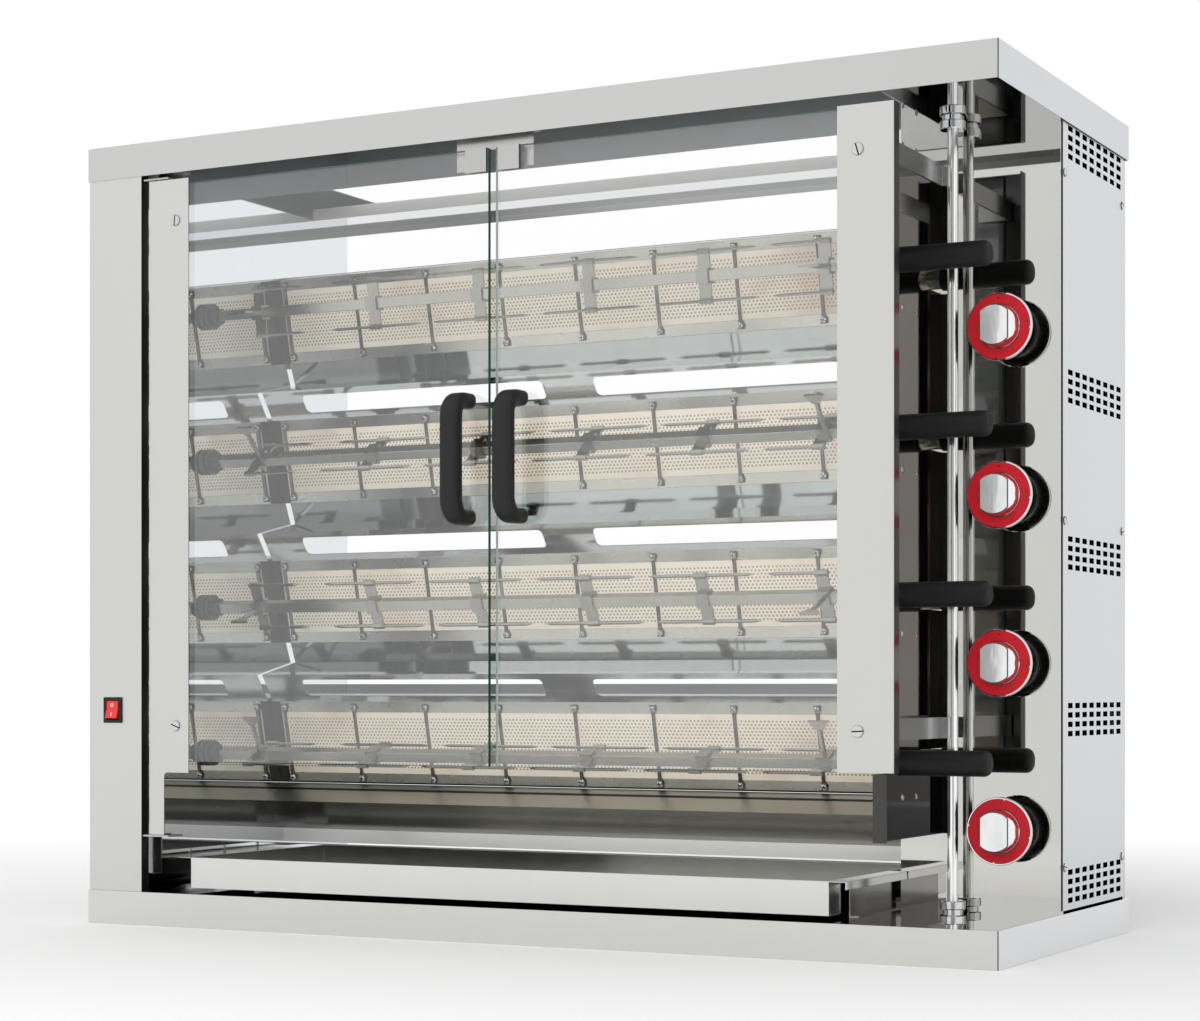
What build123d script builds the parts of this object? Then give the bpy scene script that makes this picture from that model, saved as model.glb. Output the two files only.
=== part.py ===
"""Gas chicken rotisserie: a cabinet with four spits, four rows of ceramic burners and two glass doors."""
import os
from math import cos, hypot, pi, radians, sin, tan

from build123d import *

os.makedirs("parts", exist_ok=True)

# Cabinet. X runs to the right, Y to the back, Z up. The origin is the middle of the base's underside.
width = 1156.0
depth = 464.0
height = 940.0
rim = 40.0
sheet = 1.2
ceiling_rise = 8.0

half_width = width / 2
half_depth = depth / 2
inner_left = sheet - half_width
inner_front = sheet - half_depth
inner_back = half_depth - sheet
floor_z = rim
ceiling_z = height - rim + ceiling_rise
column_height = ceiling_z - floor_z

# Running clearances
shaft_clearance = 0.05
slide_clearance = 0.3

# Motor column on the left, and the polished wall that closes it towards the chamber
motor_column_width = 80.0
motor_column_return = 12.0
chamber_wall_inset = 70.0
motor_column_right = -half_width + motor_column_width
chamber_left = chamber_wall_inset - half_width + sheet

# Control column on the right
control_column_width = 188.0
control_column_depth = 247.0
control_column_flange = 10.0
side_panel_inset = 3.0
control_right = half_width - side_panel_inset - sheet
control_left = half_width - control_column_width
control_front = half_depth - control_column_depth

# Flue outlet: an opening in the ceiling, and one further back in the lid
outlet_left_inset = 52.0
outlet_right_inset = 50.0
outlet_lead = 5.0
outlet_depth = 168.0
outlet_upstand = 15.0
lid_outlet_depth = 114.0
lid_outlet_margin = 10.0
outlet_front = control_front - outlet_lead
outlet_back = outlet_front + outlet_depth
lid_outlet_back = half_depth - lid_outlet_margin
lid_outlet_front = lid_outlet_back - lid_outlet_depth

# Right end wall with the notches that carry the spits
end_wall_offset = 10.0
end_wall_depth = 106.0
end_wall_foot_rise = 78.0
end_wall_top_drop = 24.0
end_wall_flange = 15.0
end_wall_foot = 9.0
notch_depth = 35.0
end_wall_x = control_left + end_wall_offset
end_wall_front = control_front - end_wall_depth
end_wall_bottom_z = floor_z + end_wall_foot_rise
end_wall_top_z = ceiling_z - end_wall_top_drop

# Rows of spits, with one burner and one knob to each
row_count = 4
top_spit_drop = 158.0
low_spit_rise = 164.0
burner_above_spit = 11.0
knob_below_spit = 74.0
spit_y = end_wall_front + notch_depth
top_spit_z = ceiling_z - top_spit_drop
row_pitch = (top_spit_z - floor_z - low_spit_rise) / (row_count - 1)
spit_z = [top_spit_z - row_pitch * row for row in range(row_count)]
burner_z = [z + burner_above_spit for z in spit_z]
knob_z = [z - knob_below_spit for z in spit_z]

# Burners: a tilted steel box with a row of ceramic tiles in its mouth
burner_tilt = 13.0
burner_set_back = 76.0
burner_height = 108.0
burner_depth = 46.0
burner_sheet = 1.2
burner_end = 15.0
tile_pitch = 106.7
tile_gap = 1.4
tile_height = 80.0
tile_thickness = 12.0
clip_length = 102.0
clip_end = 9.0
clip_neck = 4.2
clip_flare = 12.0
clip_thickness = 2.0
mixing_tube_radius = 17.0
mixing_tube_reach = 48.0
burner_y = control_front + burner_set_back
burner_mid_x = (chamber_left + control_left) / 2
burner_length = control_left - chamber_left
tile_count = int((burner_length - 2 * burner_end) // tile_pitch)
burner_rise = cos(radians(burner_tilt)) * burner_height / 2
burner_lean = sin(radians(burner_tilt)) * burner_height / 2

# Folded reflectors under the burners
reflector_root_set_back = 27.0
reflector_fold_set_back = 39.0
reflector_fold_share = 0.331
reflector_nose_reach = 37.0
reflector_nose_share = 0.545
reflector_end_gap = 4.0
reflector_slot_edge = 8.4
reflector_slot_corner = 6.0
reflector_web = 70.0
reflector_slot_margin = 62.0
reflector_gap = 0.4
deflector_nose_reach = 32.0
deflector_nose_drop = 22.0
deflector_heel_set_back = 18.0
deflector_heel_rise = 62.0
burner_gap = row_pitch - 2 * burner_rise
reflector_root_y = burner_y + reflector_root_set_back
reflector_fold_y = burner_y + reflector_fold_set_back
reflector_fold_drop = burner_gap * reflector_fold_share
reflector_nose_y = burner_y - reflector_nose_reach
reflector_nose_drop = burner_gap * reflector_nose_share
deflector_nose_y = burner_y - deflector_nose_reach
deflector_heel_y = burner_y + deflector_heel_set_back
deflector_heel_z = floor_z + deflector_heel_rise

# Grease tray under the spits, carried on two runners
tray_left_inset = 54.8
tray_right_inset = 12.0
tray_front_inset = 37.0
tray_behind_burner = 30.0
tray_lift = 4.0
tray_height = 37.0
tray_left_flange = 34.0
tray_right_flange = 20.0
tray_lip = 9.0
tray_flange_gap = 2.0
tray_left = chamber_left + tray_left_inset
tray_right = control_left - tray_right_inset
tray_front = tray_front_inset - half_depth
tray_back = burner_y + tray_behind_burner
tray_bottom_z = floor_z + tray_lift
tray_top_z = tray_bottom_z + tray_height
runner_lap = 12.0
runner_leg = 20.0
runner_back_gap = 14.0
right_runner_set_back = 45.0
right_runner_offset = 5.0
right_runner_width = 11.0
right_runner_front = tray_front + right_runner_set_back

# Doors: glass panes between steel stiles
glass_thickness = 5.0
glass_rise = 157.0
glass_drop = 20.0
glass_set_back = 5.5
glass_bottom_z = floor_z + glass_rise
glass_top_z = ceiling_z - glass_drop
glass_front_y = glass_set_back - half_depth
glass_back_y = glass_front_y + glass_thickness
stile_sheet = 1.5
stile_front_y = glass_front_y - stile_sheet
door_gap_x = -14.0
door_gap = 9.0
left_stile_inset = 89.0
left_stile_width = 58.0
left_stile_drop = 15.0
left_stile_foot_width = 22.0
left_stile_notch_drop = 13.0
left_stile_notch_radius = 5.0
left_stile_return = 13.0
left_pivot_inset = 11.0
left_pivot_set_back = 5.5
left_glass_inset = 21.0
right_stile_inset = 177.0
right_stile_width = 63.0
right_stile_drop = 18.0
right_stile_return = 16.0
right_glass_lap = 38.0
left_stile_left = left_stile_inset - half_width
left_stile_top_z = ceiling_z - left_stile_drop
left_stile_notch_z = glass_bottom_z - left_stile_notch_drop
left_pivot_x = left_stile_left + left_pivot_inset
left_pivot_y = glass_front_y + left_pivot_set_back
right_stile_left = half_width - right_stile_inset
right_stile_top_z = ceiling_z - right_stile_drop
left_stile_right = left_stile_left + left_stile_width
right_stile_right = right_stile_left + right_stile_width
left_glass_right = door_gap_x - door_gap / 2
right_glass_left = door_gap_x + door_gap / 2

# Left door's pivot brackets
pivot_radius = 4.0
pivot_length = 14.0
bracket_sheet = 2.0
bracket_rise = 68.8
bracket_reach = 46.8
bracket_lead = 2.5
bracket_depth = 29.0
bracket_leg_width = 16.0
bracket_leg_drop = 48.0
upper_bracket_drop = 12.0
upper_bracket_foot = 14.0
upper_bracket_width = 36.0
bracket_top_z = floor_z + bracket_rise
bracket_front_y = glass_front_y - bracket_lead
bracket_leg_y = bracket_front_y + bracket_depth
upper_bracket_z = ceiling_z - upper_bracket_drop

# Right door's hinge: a tall rod in two bushes, with two bent arms to the door
rod_radius = 6.0
rod_inset = 4.0
rod_lead = 25.0
bush_radius = 15.0
bush_height = 14.0
arm_thickness = 3.0
arm_height = 23.0
arm_offset = 11.0
arm_leg = 40.0
low_arm_rise = 33.0
high_arm_drop = 53.0
rod_x = right_stile_right - rod_inset
rod_y = control_front - rod_lead
arm_x = rod_x - arm_offset
arm_end_y = rod_y - arm_thickness
arm_z = (glass_bottom_z + low_arm_rise, glass_top_z - high_arm_drop)

# Bow handles on the glass
handle_spacing = 33.5
handle_length = 147.5
handle_drop = 1.25
handle_reach = 42.0
handle_width = 25.0
handle_thickness = 17.0
handle_round = 7.0
handle_bend = 20.0
handle_corner_steps = 2
handle_mid_z = (glass_bottom_z + glass_top_z) / 2 - handle_drop
handle_low_z = handle_mid_z - handle_length / 2
handle_high_z = handle_mid_z + handle_length / 2

# Door catch under the ceiling, with a clip on each pane
catch_left_reach = 51.0
catch_right_reach = 48.0
catch_bar_height = 20.0
catch_ear_width = 13.0
catch_drop = 42.0
catch_top_flange = 20.0
catch_gap = 4.0
catch_clip_width = 27.0
catch_clip_height = 26.0
catch_clip_inset = 3.0
catch_clip_sheet = 1.0
catch_left = door_gap_x - catch_left_reach
catch_right = door_gap_x + catch_right_reach
catch_low_z = ceiling_z - catch_drop

# Spits: a square bar with a journal, a grip, forks and a drive socket
bar_size = 12.5
journal_radius = 11.7
journal_lead = 14.0
journal_length = 27.0
tang_size = 9.0
tang_length = 70.0
grip_radius = 14.0
grip_length = 106.0
grip_round = 6.0
tip_depth_share = 0.3
tip_inset_share = 0.3
fork_sheet = 2.5
fork_width = 15.0
fork_eye_radius = 3.8
prong_radius = 2.0
prong_offset = 28.0
prong_reach = 65.0
prong_point = 8.0
prong_taper = 10.0
prong_sides = 6
fork_pitch = 147.3
left_end_fork_inset = 79.8
right_end_fork_inset = 61.0
left_end_fork_x = chamber_left + left_end_fork_inset
right_end_fork_x = control_left - right_end_fork_inset
double_fork_count = int((right_end_fork_x - left_end_fork_x) // fork_pitch) - 1
thumb_screw_radius = 3.0
thumb_screw_length = 30.0
thumb_wing_span = 24.0
thumb_wing_root = 9.0
thumb_wing_height = 11.0
thumb_wing_thickness = 3.0
spit_turn_angles = (8.0, -48.0, 24.0, -65.0)
socket_radius = 16.0
socket_length = 19.0
socket_recess = 11.0
socket_disc = 3.0
socket_groove_depth = 4.0
socket_groove_width = 3.0
socket_hub_radius = 11.0
drive_shaft_radius = 6.0
drive_shaft_length = 20.0
gearbox_width = 64.0
gearbox_height = 74.0
gearbox_depth = 22.0
motor_radius = 25.0
motor_length = 28.0
wall_hole_radius = 7.5

# Knobs and gas taps
knob_inset = 62.0
knob_gap = 5.0
knob_skirt_radius = 29.0
knob_skirt_depth = 25.0
knob_rim_radius = 37.0
knob_rim_depth = 5.0
knob_core_radius = 23.0
knob_core_depth = 4.0
knob_ridge_width = 25.0
knob_ridge_depth = 14.0
knob_ridge_taper = 8.0
knob_bore_depth = 26.0
stem_radius = 4.0
stem_hole_radius = 6.0
tap_width = 34.0
tap_height = 38.0
tap_depth = 34.0
tap_neck_radius = 9.0
tap_neck_length = 20.0
tap_bore_depth = 34.0
rail_radius = 11.0
rail_rise = 52.0
rail_bend = 26.0
inlet_reach = 18.0
inlet_bore_radius = 8.0
inlet_bore_depth = 20.0
inlet_hole_radius = 13.0
feed_radius = 4.0
feed_offset = 46.0
feed_entry = 15.0
feed_sides = 6
rail_top_margin = 34.0
knob_x = half_width - knob_inset
rail_low_z = floor_z + rail_rise
rail_y = control_front + sheet + tap_neck_length + tap_depth + slide_clearance + rail_radius

# Vent grids in the control column's side panel
vent_columns = 8
vent_rows = 4
vent_column_pitch = 26.2
vent_row_pitch = 10.2
vent_slot_width = 17.0
vent_slot_height = 6.0
vent_set_back = 118.0
vent_below_knob = 61.5
top_vent_drop = 22.5
side_panel_lead = 5.0
side_panel_back_gap = 11.0
side_panel_gap = 3.0
side_panel_drop = 5.0
side_panel_front = control_front + side_panel_lead
side_panel_back = half_depth - side_panel_back_gap
side_panel_bottom_z = floor_z + side_panel_gap
side_panel_top_z = ceiling_z - side_panel_drop
vent_mid_y = side_panel_front + vent_set_back
top_vent_z = side_panel_top_z - top_vent_drop

# Flue windows in the back
top_flue_bar_rise = 90.0
flue_bar_rise = 70.0
flue_bar_drop = 36.0
flue_side_margin = 5.0
flue_rise = 32.0
flue_drop = 5.0
flue_corner = 3.0
flue_low_z = floor_z + flue_rise
flue_high_z = ceiling_z - flue_drop

# Rocker switch in the motor column
switch_inset = 37.0
switch_rise = 218.5
bezel_width = 27.0
bezel_height = 31.0
bezel_lip = 2.0
bezel_wall = 4.0
bezel_depth = 16.0
rocker_tilt = 10.0
rocker_clearance = 1.0
rocker_crown = 4.0
rocker_dip = 2.6
rocker_back = 9.0
rocker_back_share = 0.66
switch_x = switch_inset - half_width
switch_z = floor_z + switch_rise


def save(piece, name):
    """Label a finished piece and write it to its own file."""
    piece.part.label = name
    export_step(piece.part, f"parts/{name}.step")


def folded(points, thickness, plane, side):
    """Section of a folded sheet that follows the points, with its thickness to one side of them."""
    with BuildSketch(plane) as section:
        with BuildLine():
            Polyline(*points)
            offset(amount=thickness, side=side, kind=Kind.INTERSECTION)
        make_face()
    return section.sketch


def span(low, high):
    """Middle and length of a stretch."""
    return (low + high) / 2, high - low


# Base tray: the brushed pan with the outer rim
with BuildPart() as base_tray:
    Box(width, depth, rim, align=(Align.CENTER, Align.CENTER, Align.MIN))
    offset(amount=-sheet, openings=base_tray.faces().sort_by(Axis.Z)[-1], kind=Kind.INTERSECTION)
save(base_tray, "base_tray")

# Base floor: the polished inverted tray that sits inside the rim
with BuildPart(Plane.XY.offset(sheet)) as base_floor:
    Box(width - 2 * sheet, depth - 2 * sheet, rim - sheet, align=(Align.CENTER, Align.CENTER, Align.MIN))
    offset(amount=-sheet, openings=base_floor.faces().sort_by(Axis.Z)[0], kind=Kind.INTERSECTION)
save(base_floor, "base_floor")

# Top cover: the brushed lid with its lip turned down all round and the flue outlet near its back
outlet_mid_x, outlet_width = span(chamber_left + outlet_left_inset, control_left - outlet_right_inset)
with BuildPart(Plane.XY.offset(height - rim)) as top_cover:
    Box(width, depth, rim, align=(Align.CENTER, Align.CENTER, Align.MIN))
    offset(amount=-sheet, openings=top_cover.faces().sort_by(Axis.Z)[0], kind=Kind.INTERSECTION)
    with BuildSketch(Plane.XY.offset(height)):
        lid_outlet_mid_y, lid_outlet_span = span(lid_outlet_front, lid_outlet_back)
        with Locations((outlet_mid_x, lid_outlet_mid_y)):
            Rectangle(outlet_width, lid_outlet_span)
    extrude(amount=-2 * sheet, mode=Mode.SUBTRACT)
save(top_cover, "top_cover")

# Ceiling: the polished plate over the chamber, with the flue opening and an upstand along its back edge
with BuildPart() as ceiling_plate:
    with BuildSketch(Plane.XY.offset(ceiling_z)):
        Rectangle(width - 2 * sheet, depth - 2 * sheet)
        outlet_mid_y, outlet_span = span(outlet_front, outlet_back)
        with Locations((outlet_mid_x, outlet_mid_y)):
            Rectangle(outlet_width, outlet_span, mode=Mode.SUBTRACT)
    extrude(amount=sheet)
    with BuildSketch(Plane.XY.offset(ceiling_z)):
        with Locations((outlet_mid_x, outlet_back + sheet / 2)):
            Rectangle(outlet_width, sheet)
    extrude(amount=outlet_upstand)
save(ceiling_plate, "ceiling_plate")

# Motor housing: one folded sheet for the front, the side and the back of the left column
housing_points = (
    (motor_column_right, inner_front + motor_column_return),
    (motor_column_right, inner_front),
    (inner_left, inner_front),
    (inner_left, inner_back),
    (chamber_left - sheet, inner_back),
)
with BuildPart() as motor_housing:
    extrude(folded(housing_points, sheet, Plane.XY.offset(floor_z), Side.RIGHT), amount=column_height)
    with BuildSketch(Plane.XZ.offset(-inner_front)):
        with Locations((switch_x, switch_z)):
            Rectangle(bezel_width - bezel_wall, bezel_height - bezel_wall)
    extrude(amount=-motor_column_return, mode=Mode.SUBTRACT)
save(motor_housing, "motor_housing")

# Left chamber wall: polished plate with a hole for each drive shaft
wall_mid_y, wall_depth = span(inner_front + sheet, inner_back)
with BuildPart() as left_chamber_wall:
    with BuildSketch(Plane.YZ.offset(chamber_left - sheet)):
        with Locations((wall_mid_y, floor_z + column_height / 2)):
            Rectangle(wall_depth, column_height)
        with Locations(*[(spit_y, z) for z in spit_z]):
            Circle(wall_hole_radius, mode=Mode.SUBTRACT)
    extrude(amount=sheet)
save(left_chamber_wall, "left_chamber_wall")

# Right end wall: a plate flanged at its front edge, with an open notch for each spit's journal
end_wall_points = (
    (end_wall_x + end_wall_flange, end_wall_front),
    (end_wall_x, end_wall_front),
    (end_wall_x, control_front),
    (end_wall_x - end_wall_foot, control_front),
)
notch_radius = journal_radius + slide_clearance
notch_front = end_wall_front - end_wall_flange
with BuildPart() as right_end_wall:
    extrude(
        folded(end_wall_points, sheet, Plane.XY.offset(end_wall_bottom_z), Side.LEFT),
        amount=end_wall_top_z - end_wall_bottom_z,
    )
    notch_mid_y, notch_length = span(notch_front, spit_y)
    with BuildSketch(Plane.YZ.offset(end_wall_x)):
        with Locations(*[(notch_mid_y, z) for z in spit_z]):
            Rectangle(notch_length, 2 * notch_radius)
        with Locations(*[(spit_y, z) for z in spit_z]):
            Circle(notch_radius)
    extrude(amount=2 * end_wall_flange, both=True, mode=Mode.SUBTRACT)
save(right_end_wall, "right_end_wall")

# Back frame: a sheet with a flue window between each two burners
back_mid_x, back_width = span(chamber_left, control_left)
flue_edges = [flue_high_z]
for row, z in enumerate(burner_z):
    bar_rise = flue_bar_rise if row else top_flue_bar_rise
    flue_edges += [z + bar_rise, z - flue_bar_drop]
flue_edges.append(flue_low_z)
with BuildPart() as back_frame:
    with BuildSketch(Plane.XZ.offset(sheet - inner_back)):
        back_mid_z, back_height = span(floor_z, ceiling_z)
        with Locations((back_mid_x, back_mid_z)):
            Rectangle(back_width, back_height)
        for window in range(row_count + 1):
            window_mid_z, window_height = span(flue_edges[2 * window + 1], flue_edges[2 * window])
            with Locations((back_mid_x, window_mid_z)):
                RectangleRounded(
                    back_width - 2 * flue_side_margin, window_height, flue_corner, mode=Mode.SUBTRACT
                )
    extrude(amount=-sheet)
save(back_frame, "back_frame")

# Control column: one folded sheet, polished on the front where the knobs are
control_points = (
    (control_right, control_front + control_column_flange),
    (control_right, control_front),
    (control_left, control_front),
    (control_left, inner_back),
    (control_right, inner_back),
    (control_right, inner_back - control_column_flange),
)
tube_set_back = burner_depth / 2
tube_y = burner_y + cos(radians(burner_tilt)) * tube_set_back
tube_above_burner = sin(radians(burner_tilt)) * tube_set_back
with BuildPart() as control_column:
    extrude(folded(control_points, sheet, Plane.XY.offset(floor_z), Side.RIGHT), amount=column_height)
    with BuildSketch(Plane.XZ.offset(-control_front)):
        with Locations(*[(knob_x, z) for z in knob_z]):
            Circle(stem_hole_radius)
    extrude(amount=-2 * sheet, mode=Mode.SUBTRACT)
    with BuildSketch(Plane.YZ.offset(control_left)):
        with Locations(*[(tube_y, z + tube_above_burner) for z in burner_z]):
            Circle(mixing_tube_radius + slide_clearance)
    extrude(amount=2 * sheet, mode=Mode.SUBTRACT)
    with BuildSketch(Plane.XZ.offset(-inner_back)):
        with Locations((knob_x, rail_low_z)):
            Circle(inlet_hole_radius)
    extrude(amount=2 * sheet, mode=Mode.SUBTRACT)
save(control_column, "control_column")

# Side panel: the screwed cover of the control column, with its grids of vent slots
vent_z = [top_vent_z] + [z - vent_below_knob for z in knob_z]
panel_mid_y, panel_depth = span(side_panel_front, side_panel_back)
panel_mid_z, panel_height = span(side_panel_bottom_z, side_panel_top_z)
with BuildPart() as column_side_panel:
    with BuildSketch(Plane.YZ.offset(control_right)):
        with Locations((panel_mid_y, panel_mid_z)):
            Rectangle(panel_depth, panel_height)
        with Locations(*[(vent_mid_y, z) for z in vent_z]):
            with GridLocations(vent_column_pitch, vent_row_pitch, vent_columns, vent_rows):
                Rectangle(vent_slot_width, vent_slot_height, mode=Mode.SUBTRACT)
    extrude(amount=sheet)
save(column_side_panel, "column_side_panel")


def burner_plane(z, forward=0.0):
    """Plane of a burner's face, with its normal towards the front and a little down."""
    lean = radians(burner_tilt)
    middle = (burner_mid_x, burner_y - cos(lean) * forward, z - sin(lean) * forward)
    return Plane(origin=middle, x_dir=(1, 0, 0), z_dir=(0, -cos(lean), -sin(lean)))


# Burner boxes: closed steel boxes with a mouth for the tiles and a mixing tube into the control column
with BuildPart() as burner_boxes:
    for z in burner_z:
        with BuildSketch(burner_plane(z)):
            Rectangle(burner_length, burner_height)
        extrude(amount=-burner_depth)
        with BuildSketch(burner_plane(z, -burner_sheet)):
            Rectangle(burner_length - 2 * burner_sheet, burner_height - 2 * burner_sheet)
        extrude(amount=2 * burner_sheet - burner_depth, mode=Mode.SUBTRACT)
        with BuildSketch(burner_plane(z)):
            Rectangle(tile_pitch * tile_count, tile_height)
        extrude(amount=-2 * burner_sheet, mode=Mode.SUBTRACT)
        with BuildSketch(Plane.YZ.offset(control_left)):
            with Locations((tube_y, z + tube_above_burner)):
                Circle(mixing_tube_radius)
        extrude(amount=mixing_tube_reach)
        with BuildSketch(Plane.YZ.offset(control_left - burner_sheet)):
            with Locations((tube_y, z + tube_above_burner)):
                Circle(mixing_tube_radius - burner_sheet)
        extrude(amount=mixing_tube_reach + burner_sheet, mode=Mode.SUBTRACT)
save(burner_boxes, "burner_boxes")

# Ceramic tiles: a row in each burner's mouth
with BuildPart() as ceramic_tiles:
    for z in burner_z:
        with BuildSketch(burner_plane(z)):
            with GridLocations(tile_pitch, tile_height, tile_count, 1):
                Rectangle(tile_pitch - tile_gap, tile_height)
        extrude(amount=-tile_thickness)
save(ceramic_tiles, "ceramic_tiles")

# Tile clips: waisted strips over the joints between the tiles
clip_waist = clip_length - 2 * clip_flare
clip_outline = [
    (clip_end / 2, clip_length / 2),
    (clip_neck / 2, clip_waist / 2),
    (clip_neck / 2, -clip_waist / 2),
    (clip_end / 2, -clip_length / 2),
]
clip_outline += [(-x, y) for x, y in reversed(clip_outline)]
with BuildPart() as tile_clips:
    for z in burner_z:
        with BuildSketch(burner_plane(z)):
            with GridLocations(tile_pitch, clip_length, tile_count + 1, 1):
                Polygon(*clip_outline, align=None)
        extrude(amount=clip_thickness)
save(tile_clips, "tile_clips")

# Reflectors: a polished sheet between each two burners, folded to a shelf and a slotted lip for the flue gas
slot_mid_share = 0.5
with BuildPart() as reflectors:
    for row in range(row_count - 1):
        burner_low_z = burner_z[row] - burner_rise
        root_rise = tan(radians(burner_tilt)) * (reflector_root_set_back - burner_lean)
        nose_z = burner_low_z - reflector_nose_drop
        heel_y = burner_y - burner_lean
        heel_z = burner_z[row + 1] + burner_rise + reflector_gap
        reflector_points = (
            (reflector_root_y, burner_low_z + root_rise - reflector_gap),
            (reflector_fold_y, burner_low_z - reflector_fold_drop),
            (reflector_nose_y, nose_z),
            (heel_y, heel_z),
        )
        end_plane = Plane.YZ.offset(chamber_left + reflector_end_gap)
        extrude(
            folded(reflector_points, sheet, end_plane, Side.LEFT), amount=burner_length - reflector_end_gap
        )
        slot_y = reflector_nose_y + (heel_y - reflector_nose_y) * slot_mid_share
        slot_z = nose_z + (heel_z - nose_z) * slot_mid_share
        leg_normal = (0, heel_z - nose_z, reflector_nose_y - heel_y)
        leg_plane = Plane(origin=(burner_mid_x, slot_y, slot_z), x_dir=(1, 0, 0), z_dir=leg_normal)
        slot_length = burner_length / 2 - reflector_slot_margin - reflector_web / 2
        slot_height = hypot(heel_y - reflector_nose_y, heel_z - nose_z) - 2 * reflector_slot_edge
        slot_corner = min(reflector_slot_corner, slot_height / 3)
        with BuildSketch(leg_plane):
            with GridLocations(slot_length + reflector_web, slot_height, 2, 1):
                RectangleRounded(slot_length, slot_height, slot_corner)
        extrude(amount=4 * sheet, both=True, mode=Mode.SUBTRACT)
save(reflectors, "reflectors")

# Lower deflector: the plain folded sheet that leads the fat from the lowest burner to the tray
deflector_top_z = burner_z[-1] - burner_rise - reflector_gap
deflector_points = (
    (burner_y + burner_lean, deflector_top_z),
    (deflector_nose_y, deflector_top_z - deflector_nose_drop),
    (deflector_heel_y, deflector_heel_z),
    (deflector_heel_y, tray_top_z + tray_lift),
)
with BuildPart() as lower_deflector:
    extrude(folded(deflector_points, sheet, Plane.YZ.offset(chamber_left), Side.LEFT), amount=burner_length)
save(lower_deflector, "lower_deflector")

# Gas rail: a bent pipe up the control column, with its inlet through the back
rail_top_z = knob_z[0] + rail_top_margin
rail_path_points = (
    (knob_x, rail_y, rail_top_z),
    (knob_x, rail_y, rail_low_z),
    (knob_x, half_depth + inlet_reach, rail_low_z),
)
with BuildPart() as gas_rail:
    with BuildLine() as rail_path:
        FilletPolyline(*rail_path_points, radius=rail_bend)
    with BuildSketch(Plane.XY.offset(rail_top_z)):
        with Locations((knob_x, rail_y)):
            Circle(rail_radius)
    sweep()
    with BuildSketch(Plane.XZ.offset(-half_depth - inlet_reach)):
        with Locations((knob_x, rail_low_z)):
            Circle(inlet_bore_radius)
    extrude(amount=inlet_bore_depth, mode=Mode.SUBTRACT)
save(gas_rail, "gas_rail")

# Gas taps: one on the rail behind each knob, with a neck up to the column's face
tap_front = control_front + sheet
with BuildPart() as gas_taps:
    for z in knob_z:
        with BuildSketch(Plane.XZ.offset(-tap_front)):
            with Locations((knob_x, z)):
                Circle(tap_neck_radius)
        extrude(amount=-tap_neck_length)
        with BuildSketch(Plane.XZ.offset(-tap_front - tap_neck_length)):
            with Locations((knob_x, z)):
                Rectangle(tap_width, tap_height)
        extrude(amount=-tap_depth)
        with BuildSketch(Plane.XZ.offset(-tap_front)):
            with Locations((knob_x, z)):
                Circle(stem_radius + shaft_clearance)
        extrude(amount=-tap_bore_depth, mode=Mode.SUBTRACT)
save(gas_taps, "gas_taps")

# Feed pipes: from each tap to the injector in its burner's mixing tube
feed_start_x = knob_x - tap_width / 2
feed_start_y = tap_front + tap_neck_length + tap_depth / 2
tube_mouth_x = control_left + mixing_tube_reach
with BuildPart() as feed_pipes:
    for tap_z, z in zip(knob_z, burner_z):
        with BuildLine():
            Polyline(
                (feed_start_x, feed_start_y, tap_z),
                (feed_start_x - feed_offset / 2, feed_start_y, tap_z),
                (feed_start_x - feed_offset / 2, tube_y, z + tube_above_burner),
                (tube_mouth_x - feed_entry, tube_y, z + tube_above_burner),
            )
        with BuildSketch(Plane.YZ.offset(feed_start_x)):
            with Locations((feed_start_y, tap_z)):
                RegularPolygon(feed_radius, feed_sides)
        sweep(transition=Transition.RIGHT)
save(feed_pipes, "feed_pipes")

# Gearmotors: one behind the chamber wall for each spit
gearbox_x = chamber_left - sheet
with BuildPart() as gearmotors:
    for z in spit_z:
        with BuildSketch(Plane.YZ.offset(gearbox_x)):
            with Locations((spit_y, z)):
                Rectangle(gearbox_width, gearbox_height)
        extrude(amount=-gearbox_depth)
        with BuildSketch(Plane.YZ.offset(gearbox_x - gearbox_depth)):
            with Locations((spit_y, z)):
                Circle(motor_radius)
        extrude(amount=-motor_length)
        with BuildSketch(Plane.YZ.offset(gearbox_x)):
            with Locations((spit_y, z)):
                Circle(drive_shaft_radius + shaft_clearance)
        extrude(amount=-gearbox_depth, mode=Mode.SUBTRACT)
save(gearmotors, "gearmotors")

# Tray runners: an angle on the chamber wall and a standing rail on the base
runner_top_z = tray_top_z - sheet - slide_clearance
left_runner_points = (
    (chamber_left, runner_top_z - runner_leg),
    (chamber_left, runner_top_z),
    (tray_left - tray_left_flange + runner_lap, runner_top_z),
)
right_runner_left = tray_right + right_runner_offset
right_runner_points = (
    (right_runner_left + right_runner_width, floor_z),
    (right_runner_left, floor_z),
    (right_runner_left, runner_top_z),
    (right_runner_left + right_runner_width, runner_top_z),
)
with BuildPart() as tray_runners:
    left_section = folded(left_runner_points, sheet, Plane.XZ.offset(-tray_front), Side.RIGHT)
    extrude(left_section, amount=tray_front - tray_back + runner_back_gap)
    right_section = folded(right_runner_points, sheet, Plane.XZ.offset(-right_runner_front), Side.RIGHT)
    extrude(right_section, amount=right_runner_front - control_front)
save(tray_runners, "tray_runners")

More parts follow.
